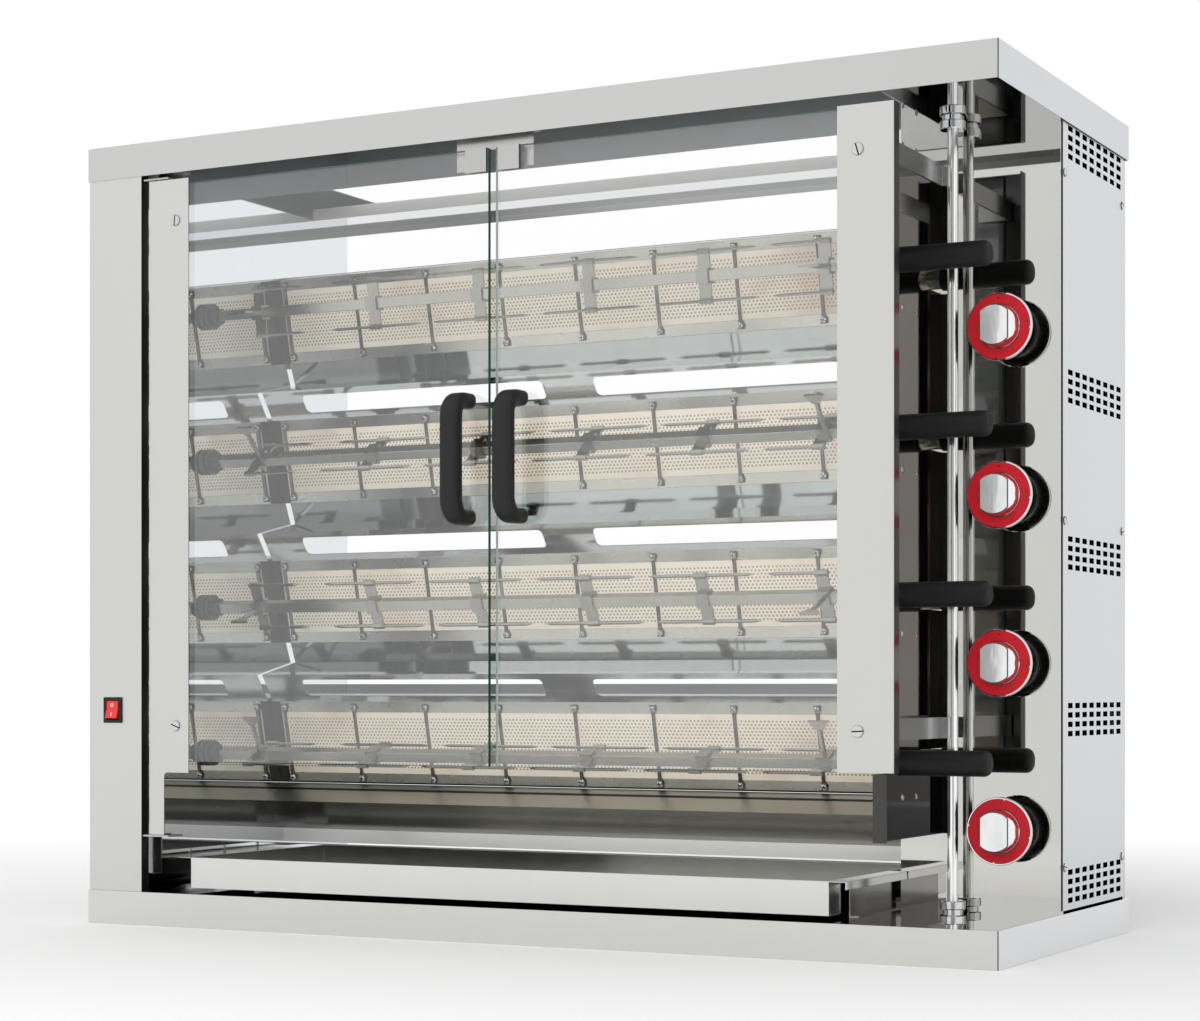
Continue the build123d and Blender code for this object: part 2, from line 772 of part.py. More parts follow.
# Grease tray: an open pan with a flange along each side
with BuildPart() as grease_tray:
    tray_mid_x, tray_width = span(tray_left, tray_right)
    tray_mid_y, tray_depth = span(tray_front, tray_back)
    with BuildSketch(Plane.XY.offset(tray_bottom_z)):
        with Locations((tray_mid_x, tray_mid_y)):
            Rectangle(tray_width, tray_depth)
    extrude(amount=tray_height)
    offset(amount=-sheet, openings=grease_tray.faces().sort_by(Axis.Z)[-1], kind=Kind.INTERSECTION)
    left_flange_points = (
        (tray_left + sheet, tray_top_z),
        (tray_left - tray_left_flange, tray_top_z),
    )
    right_flange_points = (
        (tray_right - sheet, tray_top_z),
        (tray_right + tray_right_flange, tray_top_z),
        (tray_right + tray_right_flange, tray_top_z - tray_lip),
    )
    extrude(folded(left_flange_points, sheet, Plane.XZ.offset(-tray_front), Side.LEFT), amount=-tray_depth)
    right_flange_section = folded(right_flange_points, sheet, Plane.XZ.offset(-tray_front), Side.RIGHT)
    extrude(right_flange_section, amount=tray_front - control_front + tray_flange_gap)
save(grease_tray, "grease_tray")

# Door catch: a bracket under the ceiling with an ear behind each pane
catch_y = glass_back_y + catch_gap
with BuildPart() as door_catch:
    catch_mid_x, catch_width = span(catch_left, catch_right)
    with BuildSketch(Plane.XZ.offset(-catch_y)):
        catch_mid_z, catch_height = span(catch_low_z, ceiling_z)
        with Locations((catch_mid_x, catch_mid_z)):
            Rectangle(catch_width, catch_height)
        with Locations((catch_mid_x, catch_mid_z - catch_bar_height)):
            Rectangle(catch_width - 2 * catch_ear_width, catch_height, mode=Mode.SUBTRACT)
    extrude(amount=-sheet)
    with BuildSketch(Plane.XY.offset(ceiling_z)):
        with Locations((catch_mid_x, catch_y + catch_top_flange / 2)):
            Rectangle(catch_width, catch_top_flange)
    extrude(amount=-sheet)
save(door_catch, "door_catch")

# Left pivot brackets: the lower one on the chamber wall, the upper one under the ceiling, each with its pin
with BuildPart() as left_pivot_brackets:
    lower_points = (
        (bracket_front_y, bracket_top_z),
        (bracket_leg_y, bracket_top_z),
        (bracket_leg_y, bracket_top_z - bracket_leg_drop),
    )
    lower_section = folded(lower_points, bracket_sheet, Plane.YZ.offset(chamber_left), Side.RIGHT)
    extrude(lower_section, amount=bracket_reach)
    with BuildSketch(Plane.XZ.offset(-bracket_leg_y)):
        cut_left = chamber_left + bracket_leg_width
        cut_mid_z, cut_height = span(bracket_top_z - bracket_leg_drop, bracket_top_z - bracket_sheet)
        with Locations((cut_left + bracket_reach / 2, cut_mid_z)):
            Rectangle(bracket_reach, cut_height)
    extrude(amount=2 * bracket_sheet, both=True, mode=Mode.SUBTRACT)
    with BuildSketch(Plane.XY.offset(bracket_top_z)):
        corner_mid_y, corner_depth = span(bracket_front_y - bracket_sheet, inner_front + motor_column_return)
        corner_mid_x, corner_width = span(chamber_left - bracket_sheet, motor_column_right)
        with Locations((corner_mid_x, corner_mid_y)):
            Rectangle(corner_width, corner_depth)
    extrude(amount=-2 * bracket_sheet, mode=Mode.SUBTRACT)
    with BuildSketch(Plane.XY.offset(bracket_top_z)):
        with Locations((left_pivot_x, left_pivot_y)):
            Circle(pivot_radius)
    extrude(amount=pivot_length)
    upper_points = (
        (bracket_front_y, upper_bracket_z),
        (bracket_leg_y, upper_bracket_z),
        (bracket_leg_y, ceiling_z),
        (bracket_leg_y + upper_bracket_foot, ceiling_z),
    )
    upper_left = left_pivot_x - upper_bracket_width / 2
    upper_section = folded(upper_points, bracket_sheet, Plane.YZ.offset(upper_left), Side.RIGHT)
    extrude(upper_section, amount=upper_bracket_width)
    with BuildSketch(Plane.XY.offset(upper_bracket_z)):
        with Locations((left_pivot_x, left_pivot_y)):
            Circle(pivot_radius)
    extrude(amount=-pivot_length)
save(left_pivot_brackets, "left_pivot_brackets")

# Rod bushes: a ring on the base and one under the ceiling
with BuildPart() as rod_bushes:
    for bottom_z in (floor_z, ceiling_z - bush_height):
        with BuildSketch(Plane.XY.offset(bottom_z)):
            with Locations((rod_x, rod_y)):
                Circle(bush_radius)
                Circle(rod_radius + shaft_clearance, mode=Mode.SUBTRACT)
        extrude(amount=bush_height)
save(rod_bushes, "rod_bushes")

# Switch bezel: the frame snapped into the motor column's front
bezel_front = inner_front - bezel_lip
with BuildPart() as switch_bezel:
    with BuildSketch(Plane.XZ.offset(-inner_front)):
        with Locations((switch_x, switch_z)):
            Rectangle(bezel_width, bezel_height)
    extrude(amount=bezel_lip)
    with BuildSketch(Plane.XZ.offset(-inner_front)):
        with Locations((switch_x, switch_z)):
            Rectangle(bezel_width - bezel_wall, bezel_height - bezel_wall)
    extrude(amount=-bezel_depth)
    with BuildSketch(Plane.XZ.offset(-bezel_front)):
        with Locations((switch_x, switch_z)):
            Rectangle(bezel_width - 2 * bezel_wall, bezel_height - 2 * bezel_wall)
    extrude(amount=-bezel_depth, mode=Mode.SUBTRACT)
save(switch_bezel, "switch_bezel")

# Rocker: the tilting key inside the bezel
rocker_half = bezel_height / 2 - bezel_wall - rocker_clearance
rocker_width = bezel_width - 2 * bezel_wall - 2 * rocker_clearance
rocker_outline = (
    (-rocker_half * rocker_back_share, -rocker_back),
    (rocker_half * rocker_back_share, -rocker_back),
    (rocker_half, 0),
    (rocker_half, rocker_crown),
    (0, rocker_dip),
    (-rocker_half, rocker_crown),
    (-rocker_half, 0),
)
rocker_lean = radians(rocker_tilt)
rocker_plane = Plane(
    origin=(switch_x - rocker_width / 2, inner_front, switch_z),
    x_dir=(0, sin(rocker_lean), cos(rocker_lean)),
    z_dir=(1, 0, 0),
)
with BuildPart() as rocker:
    with BuildSketch(rocker_plane):
        Polygon(*[(across, out) for across, out in rocker_outline], align=None)
    extrude(amount=rocker_width)
save(rocker, "rocker")

# Left door's stile: a notched plate with a return along its outer edge and a pivot tab at each end
stile_foot_z = bracket_top_z + slide_clearance
with BuildPart() as left_stile:
    with BuildSketch(Plane.XZ.offset(-glass_front_y)):
        stile_mid_z, stile_height = span(stile_foot_z, left_stile_top_z)
        with Locations((left_stile_left + left_stile_width / 2, stile_mid_z)):
            Rectangle(left_stile_width, stile_height)
        notch_mid_z, notch_height = span(stile_foot_z, left_stile_notch_z)
        notch_mid_x, notch_width = span(left_stile_left + left_stile_foot_width, left_stile_right)
        with Locations((notch_mid_x, notch_mid_z)):
            Rectangle(notch_width, notch_height, mode=Mode.SUBTRACT)
    extrude(amount=stile_sheet)
    notch_edge = left_stile.edges().filter_by(Axis.Y).sort_by_distance(
        (left_stile_left + left_stile_foot_width, stile_front_y, left_stile_notch_z)
    )[0]
    fillet(notch_edge, radius=left_stile_notch_radius)
    return_points = (
        (left_stile_left, glass_front_y),
        (left_stile_left, glass_front_y + left_stile_return),
    )
    extrude(folded(return_points, stile_sheet, Plane.XY.offset(stile_foot_z), Side.RIGHT), amount=stile_height)
    for tab_z in (stile_foot_z, left_stile_top_z - stile_sheet):
        with BuildSketch(Plane.XY.offset(tab_z)):
            tab_mid_y, tab_depth = span(glass_front_y, glass_front_y + left_stile_return)
            with Locations((left_stile_left + left_stile_foot_width / 2, tab_mid_y)):
                Rectangle(left_stile_foot_width, tab_depth)
            with Locations((left_pivot_x, left_pivot_y)):
                Circle(pivot_radius + shaft_clearance, mode=Mode.SUBTRACT)
        extrude(amount=stile_sheet)
save(left_stile, "left_stile")

# Right door's stile: a folded strip with a return along its outer edge
right_stile_points = (
    (right_stile_left, stile_front_y),
    (right_stile_right, stile_front_y),
    (right_stile_right, stile_front_y + right_stile_return),
)
with BuildPart() as right_stile:
    extrude(
        folded(right_stile_points, stile_sheet, Plane.XY.offset(glass_bottom_z), Side.LEFT),
        amount=right_stile_top_z - glass_bottom_z,
    )
save(right_stile, "right_stile")

# Glass panes
pane_edges = {
    "left_glass": (left_stile_left + left_glass_inset, left_glass_right),
    "right_glass": (right_glass_left, right_stile_left + right_glass_lap),
}
for name, (pane_left, pane_right) in pane_edges.items():
    with BuildPart() as pane:
        with BuildSketch(Plane.XZ.offset(-glass_back_y)):
            pane_mid_x, pane_width = span(pane_left, pane_right)
            pane_mid_z, pane_height = span(glass_bottom_z, glass_top_z)
            with Locations((pane_mid_x, pane_mid_z)):
                Rectangle(pane_width, pane_height)
        extrude(amount=glass_thickness)
    save(pane, name)

# Bow handles: a rounded bar swept from one foot on the glass to the other
handle_flat_x = handle_width / 2 - handle_round
handle_flat_z = handle_thickness / 2 - handle_round
handle_outline = []
for corner, (side_x, side_z) in enumerate(((1, 1), (-1, 1), (-1, -1), (1, -1))):
    for step in range(handle_corner_steps + 1):
        angle = (corner + step / handle_corner_steps) * pi / 2
        outline_x = side_x * handle_flat_x + cos(angle) * handle_round
        outline_z = side_z * handle_flat_z + sin(angle) * handle_round
        handle_outline.append((outline_x, outline_z))
handle_places = {"left_handle": door_gap_x - handle_spacing, "right_handle": door_gap_x + handle_spacing}
for name, handle_x in handle_places.items():
    bar_y = glass_front_y - handle_reach + handle_thickness / 2
    foot_high_z = handle_high_z - handle_thickness / 2
    foot_low_z = handle_low_z + handle_thickness / 2
    with BuildPart() as handle:
        with BuildLine():
            FilletPolyline(
                (handle_x, glass_front_y, foot_high_z),
                (handle_x, bar_y, foot_high_z),
                (handle_x, bar_y, foot_low_z),
                (handle_x, glass_front_y, foot_low_z),
                radius=handle_bend,
            )
        with BuildSketch(Plane.XZ.offset(-glass_front_y)):
            with Locations((handle_x, foot_high_z)):
                Polygon(*handle_outline, align=None)
        sweep()
    save(handle, name)

# Catch clips: a folded clip over the top corner of each pane
clip_places = {
    "left_catch_clip": left_glass_right - catch_clip_inset - catch_clip_width,
    "right_catch_clip": right_glass_left + catch_clip_inset,
}
clip_points = (
    (glass_front_y, glass_top_z - catch_clip_height),
    (glass_front_y, glass_top_z),
    (glass_back_y, glass_top_z),
    (glass_back_y, glass_top_z - catch_clip_height),
)
for name, clip_left in clip_places.items():
    with BuildPart() as catch_clip:
        clip_section = folded(clip_points, catch_clip_sheet, Plane.YZ.offset(clip_left), Side.LEFT)
        extrude(clip_section, amount=catch_clip_width)
    save(catch_clip, name)

# Hinge rod
with BuildPart() as hinge_rod:
    with BuildSketch(Plane.XY.offset(floor_z + slide_clearance)):
        with Locations((rod_x, rod_y)):
            Circle(rod_radius)
    extrude(amount=column_height - 2 * slide_clearance)
save(hinge_rod, "hinge_rod")

# Hinge arms: bent bars from the back of the glass to the rod, coped to its side
arm_points = (
    (arm_x - arm_leg, glass_back_y),
    (arm_x, glass_back_y),
    (arm_x, arm_end_y),
    (rod_x, arm_end_y),
)
with BuildPart() as hinge_arms:
    for bottom_z in arm_z:
        extrude(folded(arm_points, arm_thickness, Plane.XY.offset(bottom_z), Side.LEFT), amount=arm_height)
        with BuildSketch(Plane.XY.offset(bottom_z)):
            with Locations((rod_x, rod_y)):
                Circle(rod_radius)
            with Locations((rod_x + rod_radius, rod_y)):
                Rectangle(2 * rod_radius, 4 * rod_radius)
        extrude(amount=arm_height, mode=Mode.SUBTRACT)
save(hinge_arms, "hinge_arms")


def spit_plane(row, x):
    """Plane across a spit at one place along it, turned with the spit."""
    turn = radians(spit_turn_angles[row])
    return Plane(origin=(x, spit_y, spit_z[row]), x_dir=(0, cos(turn), sin(turn)), z_dir=(1, 0, 0))


socket_left = chamber_left + slide_clearance
socket_right = socket_left + socket_length
bar_left = socket_right - socket_recess + slide_clearance
journal_left = end_wall_x - journal_lead
journal_right = journal_left + journal_length
grip_profile = (
    (0, 0),
    (grip_length, 0),
    (grip_length, grip_radius - grip_round),
    (grip_length - grip_round * tip_depth_share, grip_radius - grip_round * tip_inset_share),
    (grip_length - grip_round, grip_radius),
    (0, grip_radius),
)
fork_x = [right_end_fork_x - fork_pitch * (fork + 1) for fork in range(double_fork_count)]
sleeve_size = bar_size + 2 * fork_sheet
socket_slot = bar_size + 2 * slide_clearance

for row in range(row_count):
    number = row + 1

    # Drive socket: a grooved disc on the gearmotor's shaft, with a hub slotted on one side for the bar
    groove_radius = socket_radius - socket_groove_depth
    groove_right = socket_disc + socket_groove_width
    socket_profile = (
        (0, 0),
        (0, socket_radius),
        (socket_disc, socket_radius),
        (socket_disc, groove_radius),
        (groove_right, groove_radius),
        (groove_right, socket_radius),
        (groove_right + socket_disc, socket_radius),
        (groove_right + socket_disc, socket_hub_radius),
        (socket_length, socket_hub_radius),
        (socket_length, 0),
    )
    with BuildPart() as drive_socket:
        with BuildSketch(Plane(origin=(socket_left, spit_y, spit_z[row]), x_dir=(1, 0, 0), z_dir=(0, -1, 0))):
            Polygon(*socket_profile, align=None)
        revolve(axis=Axis((socket_left, spit_y, spit_z[row]), (1, 0, 0)))
        with BuildSketch(spit_plane(row, socket_right)):
            Rectangle(socket_slot, socket_slot)
            with Locations((0, socket_hub_radius / 2)):
                Rectangle(socket_slot, socket_hub_radius)
        extrude(amount=-socket_recess, mode=Mode.SUBTRACT)
        with BuildSketch(spit_plane(row, socket_left)):
            Circle(drive_shaft_radius)
        extrude(amount=-drive_shaft_length)
    save(drive_socket, f"drive_socket_{number}")

    # Spit bar: square along the chamber, round where it runs in the end wall, and a tang for the grip
    with BuildPart() as spit_bar:
        with BuildSketch(spit_plane(row, bar_left)):
            Rectangle(bar_size, bar_size)
        extrude(amount=journal_left - bar_left)
        with BuildSketch(spit_plane(row, journal_left)):
            Circle(journal_radius)
        extrude(amount=journal_length)
        with BuildSketch(spit_plane(row, journal_right)):
            Rectangle(tang_size, tang_size)
        extrude(amount=tang_length)
    save(spit_bar, f"spit_bar_{number}")

    # Grip: a moulded cylinder with a rounded tip
    with BuildPart() as spit_grip:
        with BuildSketch(Plane(origin=(journal_right, spit_y, spit_z[row]), x_dir=(1, 0, 0), z_dir=(0, -1, 0))):
            Polygon(*grip_profile, align=None)
        revolve(axis=Axis((journal_right, spit_y, spit_z[row]), (1, 0, 0)))
        with BuildSketch(spit_plane(row, journal_right)):
            Rectangle(tang_size, tang_size)
        extrude(amount=tang_length, mode=Mode.SUBTRACT)
    save(spit_grip, f"spit_grip_{number}")

    # Forks: a strip folded round the bar with two prongs, pointed both ways or, at the ends, one way
    with BuildPart() as spit_forks:
        fork_kinds = [(x, (-1, 1)) for x in fork_x]
        fork_kinds += [(left_end_fork_x, (1,)), (right_end_fork_x, (-1,))]
        for x, ways in fork_kinds:
            with BuildSketch(spit_plane(row, x - fork_width / 2)):
                Rectangle(sleeve_size, sleeve_size)
                Rectangle(fork_sheet, 2 * prong_offset)
                with Locations((0, prong_offset), (0, -prong_offset)):
                    RegularPolygon(fork_eye_radius, prong_sides)
                Rectangle(bar_size, bar_size, mode=Mode.SUBTRACT)
            extrude(amount=fork_width)
            for way in ways:
                with BuildSketch(spit_plane(row, x)):
                    with Locations((0, prong_offset), (0, -prong_offset)):
                        RegularPolygon(prong_radius, prong_sides)
                extrude(amount=way * (prong_reach - prong_point))
                with BuildSketch(spit_plane(row, x + way * (prong_reach - prong_point))):
                    with Locations((0, prong_offset), (0, -prong_offset)):
                        RegularPolygon(prong_radius, prong_sides)
                extrude(amount=way * prong_point, taper=prong_taper)
            if len(ways) == 1:
                screw_plane = spit_plane(row, x)
                screw_plane = Plane(
                    origin=screw_plane.from_local_coords((-sleeve_size / 2, 0, 0)),
                    x_dir=(1, 0, 0),
                    z_dir=-screw_plane.x_dir,
                )
                with BuildSketch(screw_plane):
                    RegularPolygon(thumb_screw_radius, prong_sides)
                extrude(amount=thumb_screw_length)
                wing_plane = Plane(
                    origin=screw_plane.origin + screw_plane.z_dir * thumb_screw_length,
                    x_dir=(1, 0, 0),
                    z_dir=screw_plane.y_dir,
                )
                with BuildSketch(wing_plane):
                    Polygon(
                        (-thumb_wing_root / 2, 0),
                        (-thumb_wing_span / 2, -thumb_wing_height),
                        (thumb_wing_span / 2, -thumb_wing_height),
                        (thumb_wing_root / 2, 0),
                        align=None,
                    )
                extrude(amount=thumb_wing_thickness / 2, both=True)
    save(spit_forks, f"spit_forks_{number}")

    # Valve stem: a plain spindle from the tap to the knob
    knob_back = control_front - knob_gap
    stem_front = knob_back - knob_bore_depth + slide_clearance
    stem_back = tap_front + tap_bore_depth - knob_gap
    with BuildPart() as valve_stem:
        with BuildSketch(Plane.XZ.offset(-stem_front)):
            with Locations((knob_x, knob_z[row])):
                Circle(stem_radius)
        extrude(amount=stem_front - stem_back)
    save(valve_stem, f"valve_stem_{number}")

    # Knob: a turned skirt and rim with a raised ridge to grip
    knob_profile = (
        (0, 0),
        (knob_skirt_radius, 0),
        (knob_skirt_radius, knob_skirt_depth),
        (knob_rim_radius, knob_skirt_depth),
        (knob_rim_radius, knob_skirt_depth + knob_rim_depth),
        (knob_core_radius, knob_skirt_depth + knob_rim_depth),
        (knob_core_radius, knob_skirt_depth + knob_rim_depth + knob_core_depth),
        (0, knob_skirt_depth + knob_rim_depth + knob_core_depth),
    )
    core_front = knob_skirt_depth + knob_rim_depth + knob_core_depth
    knob_axis = Axis((knob_x, knob_back, knob_z[row]), (0, -1, 0))
    profile_plane = Plane(origin=(knob_x, knob_back, knob_z[row]), x_dir=(1, 0, 0), z_dir=(0, 0, -1))
    with BuildPart() as knob:
        with BuildSketch(profile_plane):
            Polygon(*knob_profile, align=None)
        revolve(axis=knob_axis)
        with BuildSketch(Plane.XZ.offset(core_front - knob_back)):
            with Locations((knob_x, knob_z[row])):
                Circle(knob_core_radius)
                Rectangle(knob_ridge_width, 2 * knob_core_radius, mode=Mode.INTERSECT)
        extrude(amount=knob_ridge_depth, taper=knob_ridge_taper)
        with BuildSketch(Plane.XZ.offset(-knob_back)):
            with Locations((knob_x, knob_z[row])):
                Circle(stem_radius + shaft_clearance)
        extrude(amount=knob_bore_depth, mode=Mode.SUBTRACT)
    save(knob, f"knob_{number}")
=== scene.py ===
"""Looks of the gas chicken rotisserie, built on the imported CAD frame."""
from math import cos, radians, sin

import bmesh
import bpy
from mathutils import Matrix, Vector


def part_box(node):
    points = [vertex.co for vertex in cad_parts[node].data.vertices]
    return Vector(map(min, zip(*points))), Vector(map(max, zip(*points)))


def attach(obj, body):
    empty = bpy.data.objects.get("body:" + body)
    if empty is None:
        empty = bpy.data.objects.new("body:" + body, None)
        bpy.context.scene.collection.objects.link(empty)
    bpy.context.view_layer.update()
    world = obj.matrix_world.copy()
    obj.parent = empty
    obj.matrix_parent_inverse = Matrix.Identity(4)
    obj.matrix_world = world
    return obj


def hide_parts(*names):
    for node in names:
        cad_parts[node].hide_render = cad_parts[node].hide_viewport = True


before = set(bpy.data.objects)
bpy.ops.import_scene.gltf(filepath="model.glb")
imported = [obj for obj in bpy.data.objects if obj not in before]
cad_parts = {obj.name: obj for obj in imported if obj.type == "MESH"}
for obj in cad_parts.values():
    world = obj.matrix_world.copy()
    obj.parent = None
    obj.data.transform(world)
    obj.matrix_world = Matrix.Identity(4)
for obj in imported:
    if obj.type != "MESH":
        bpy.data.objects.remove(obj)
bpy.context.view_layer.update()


# Outer panels: the base pan, the lid, the motor column's sheet and the vented side panel.
# They are folded from stainless sheet with a fine satin grind, which runs along the longer edge of each.
class Shade:
    """One output of a shader node. Arithmetic on it adds Math nodes to the same material."""

    def __init__(self, tree, socket=None):
        self.tree = tree
        self.socket = socket

    def node(self, kind, settings=None, sockets=None, output=0):
        """Add a node: first its settings, then the values or links of its sockets."""
        made = self.tree.nodes.new("ShaderNode" + kind)
        for name, value in (settings or {}).items():
            if name == "stops":
                while len(made.color_ramp.elements) < len(value):
                    made.color_ramp.elements.new(1.0)
                for element, (place, tone) in zip(made.color_ramp.elements, value):
                    element.position = place
                    element.color = tone
            else:
                setattr(made, name, value)
        for name, value in (sockets or {}).items():
            if isinstance(value, Shade):
                self.tree.links.new(value.socket, made.inputs[name])
            else:
                made.inputs[name].default_value = value
        return Shade(self.tree, made.outputs[output] if made.outputs else None)

    def maths(self, operation, *terms):
        return self.node("Math", {"operation": operation}, dict(enumerate(terms)))

    def __add__(self, other):
        return self.maths("ADD", self, other)

    def __radd__(self, other):
        return self.maths("ADD", other, self)

    def __sub__(self, other):
        return self.maths("SUBTRACT", self, other)

    def __rsub__(self, other):
        return self.maths("SUBTRACT", other, self)

    def __mul__(self, other):
        return self.maths("MULTIPLY", self, other)

    def __rmul__(self, other):
        return self.maths("MULTIPLY", other, self)

    def __truediv__(self, other):
        return self.maths("DIVIDE", self, other)

    def __mod__(self, other):
        return self.maths("FLOORED_MODULO", self, other)

    def __lt__(self, other):
        return self.maths("LESS_THAN", self, other)

    def __abs__(self):
        return self.maths("ABSOLUTE", self)

    def along(self, axis):
        """Place on the piece along one axis, in metres."""
        place = self.node("TexCoord", output="Object")
        return self.node("SeparateXYZ", sockets={"Vector": place}, output=axis)

    def noise(self, stretch, detail=2.0):
        """Noise over the piece, with its own number of waves per metre along each axis."""
        place = self.node("TexCoord", output="Object")
        spread = self.node("VectorMath", {"operation": "MULTIPLY"}, {0: place, 1: stretch})
        return self.node("TexNoise", sockets={"Vector": spread, "Scale": 1.0, "Detail": detail})

    def ramp(self, value, low, high):
        """Share that rises from 0 to 1 as a value goes from low to high."""
        return self.node("MapRange", sockets={"Value": value, 1: low, 2: high})

    def mix(self, share, first, second):
        """Blend of two colours."""
        return self.node("Mix", {"data_type": "RGBA"}, {0: share, 6: first, 7: second}, output=2)

    def bump(self, height, strength, distance):
        """Surface normal disturbed by a height."""
        sockets = {"Strength": strength, "Distance": distance, "Height": height}
        return self.node("Bump", sockets=sockets)


def finish(name, surface):
    """A material whose surface is the shader that the given function makes."""
    made = bpy.data.materials.new(name)
    made.use_nodes = True
    made.node_tree.nodes.clear()
    start = Shade(made.node_tree)
    start.node("OutputMaterial", sockets={"Surface": surface(start)})
    return made


def dress(material, *names, fold=0.0):
    """Give CAD pieces a finish, and round their folded edges a little."""
    for name in names:
        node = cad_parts[name]
        node.data.materials.clear()
        node.data.materials.append(material)
        if fold:
            weld = node.modifiers.new("Weld", "WELD")
            weld.merge_threshold = 0.00001
            edge = node.modifiers.new("Folds", "BEVEL")
            edge.width = fold
            edge.segments = 2
            edge.limit_method = "ANGLE"
            edge.angle_limit = radians(40)
            edge.harden_normals = True


def darker(tone, share):
    """The same colour with less light in it."""
    return tuple(share * part for part in tone[:3]) + (1.0,)


def satin_grind(shade, tone, grain, low=0.93):
    """The scratches of a satin grind and the colour that they give."""
    scratch = shade.noise(grain, detail=3.0)
    cloud = shade.noise((3.0, 3.0, 3.0))
    return scratch, shade.mix(scratch * 0.6 + cloud * 0.4, darker(tone, low), tone)


def satin_steel(shade, colour, scratch):
    """Stainless shader with the gloss and relief of a satin grind."""
    sockets = {
        "Base Color": colour,
        "Metallic": 1.0,
        "Roughness": 0.36 + 0.1 * scratch,
        "Normal": shade.bump(scratch, 0.06, 0.0004),
    }
    return shade.node("BsdfPrincipled", sockets=sockets)


def ground_steel(tone, grain, right_tone, right_edge):
    """Satin sheet with a dark seam down its front corner, and a second tone past its right-hand edge: painted
    light on the lid's and base's sides, painted shade on the column's return.
    """

    def surface(shade):
        scratch, ground = satin_grind(shade, tone, grain)
        past_edge = shade.ramp(shade.along("X"), right_edge - 0.0003, right_edge)
        at_front = shade.ramp(shade.along("Y"), corner_seam + 0.0002, corner_seam)
        at_corner = shade.ramp(shade.along("X"), right_edge - 0.0010, right_edge - 0.0008) * at_front
        colour = shade.mix(at_corner * 0.75, shade.mix(past_edge, ground, right_tone), seam_and_shade_tone)
        return satin_steel(shade, colour, scratch)

    return surface


front_tone = (0.70, 0.702, 0.68, 1.0)
side_tone = (0.69, 0.71, 0.725, 1.0)
# The two side tones are painted light: the lid's and base's right-hand faces are made lighter and bluer for
# the light that falls on them.
lid_tone = (0.645, 0.652, 0.64, 1.0)
lid_side_painted_light = (0.655, 0.675, 0.695, 1.0)
# The base's tone is the satin steel's colour raised as painted light, since its grind mirrors the shadowed
# floor.
base_tone = (0.755, 0.755, 0.73, 1.0)
base_side_painted_light = (0.81, 0.82, 0.835, 1.0)
# This dark tone is the real corner seam, and also the painted shade on the motor column's return.
seam_and_shade_tone = (0.05, 0.048, 0.045, 1.0)
corner_seam = -0.2312
right_corner = 0.5775
housing_corner = -0.4984
along_x = (5.0, 900.0, 900.0)
along_z = (900.0, 900.0, 5.0)
lid_steel = finish("lid satin steel", ground_steel(lid_tone, along_x, lid_side_painted_light, right_corner))
base_steel = finish("base satin steel", ground_steel(base_tone, along_x, base_side_painted_light, right_corner))
column_satin = finish("column satin steel", ground_steel(front_tone, along_z, seam_and_shade_tone, housing_corner))
side_panel_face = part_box("column_side_panel")[1][0]


def vented_steel(shade):
    """Satin side sheet, with painted shade on the punched edges inside its vents."""
    scratch, ground = satin_grind(shade, side_tone, along_z)
    # Everything set back from the panel's face is painted near-black as shade.
    vent_shade = shade.ramp(shade.along("X"), side_panel_face - 0.0002, side_panel_face - 0.0004)
    return satin_steel(shade, shade.mix(vent_shade, ground, (0.02, 0.02, 0.025, 1.0)), scratch)


side_steel = finish("side satin steel", vented_steel)
dress(base_steel, "base_tray", fold=0.0006)
dress(lid_steel, "top_cover", fold=0.0006)
dress(column_satin, "motor_housing", fold=0.0005)
dress(side_steel, "column_side_panel")


# Polished lining: the floor, the chamber's left wall, the right end wall and the control column.
# It is bright-rolled stainless sheet, so it mirrors the burners, the doors and the knobs, with a slight wave.
def mirror_steel(tone, roughness, wave):
    """Polished stainless that mirrors what is round it, a little hazy and wavy."""

    def surface(shade):
        swell = shade.noise((7.0, 7.0, 4.0), detail=1.0)
        haze = shade.noise((40.0, 40.0, 18.0), detail=4.0)
        sockets = {
            "Base Color": shade.mix(haze, darker(tone, 0.94), tone),
            "Metallic": 1.0,
            "Roughness": roughness + 0.025 * haze,
            "Normal": shade.bump(swell, wave, 0.002),
        }
        return shade.node("BsdfPrincipled", sockets=sockets)

    return surface


def dark_edge_steel(tone, edge, gap_shade_tone, dark_reflection_top):
    """Polished stainless with painted shade on a front strip that stands in a dark gap, and a painted dark
    reflection up to a height.
    """

    def surface(shade):
        haze = shade.noise((40.0, 40.0, 18.0), detail=4.0)
        # Painted shade on the front strip, and a painted dark reflection low on the wall, both mixed into the
        # colour.
        strip = shade.ramp(shade.along("Y"), edge + 0.0004, edge)
        low_dark_reflection = shade.ramp(shade.along("Z"), dark_reflection_top + 0.03, dark_reflection_top)
        plain_polish = shade.mix(haze, darker(tone, 0.94), tone)
        sockets = {
            "Base Color": shade.mix(strip, shade.mix(low_dark_reflection, plain_polish, (0.08, 0.08, 0.09, 1.0)), gap_shade_tone),
            "Metallic": 1.0,
            "Roughness": 0.015 + 0.02 * haze + 0.4 * strip,
        }
        return shade.node("BsdfPrincipled", sockets=sockets)

    return surface


lining_steel = finish("polished lining", mirror_steel((0.62, 0.64, 0.655, 1.0), 0.012, 0.025))
column_steel = finish("polished column", mirror_steel((0.62, 0.615, 0.585, 1.0), 0.012, 0.03))
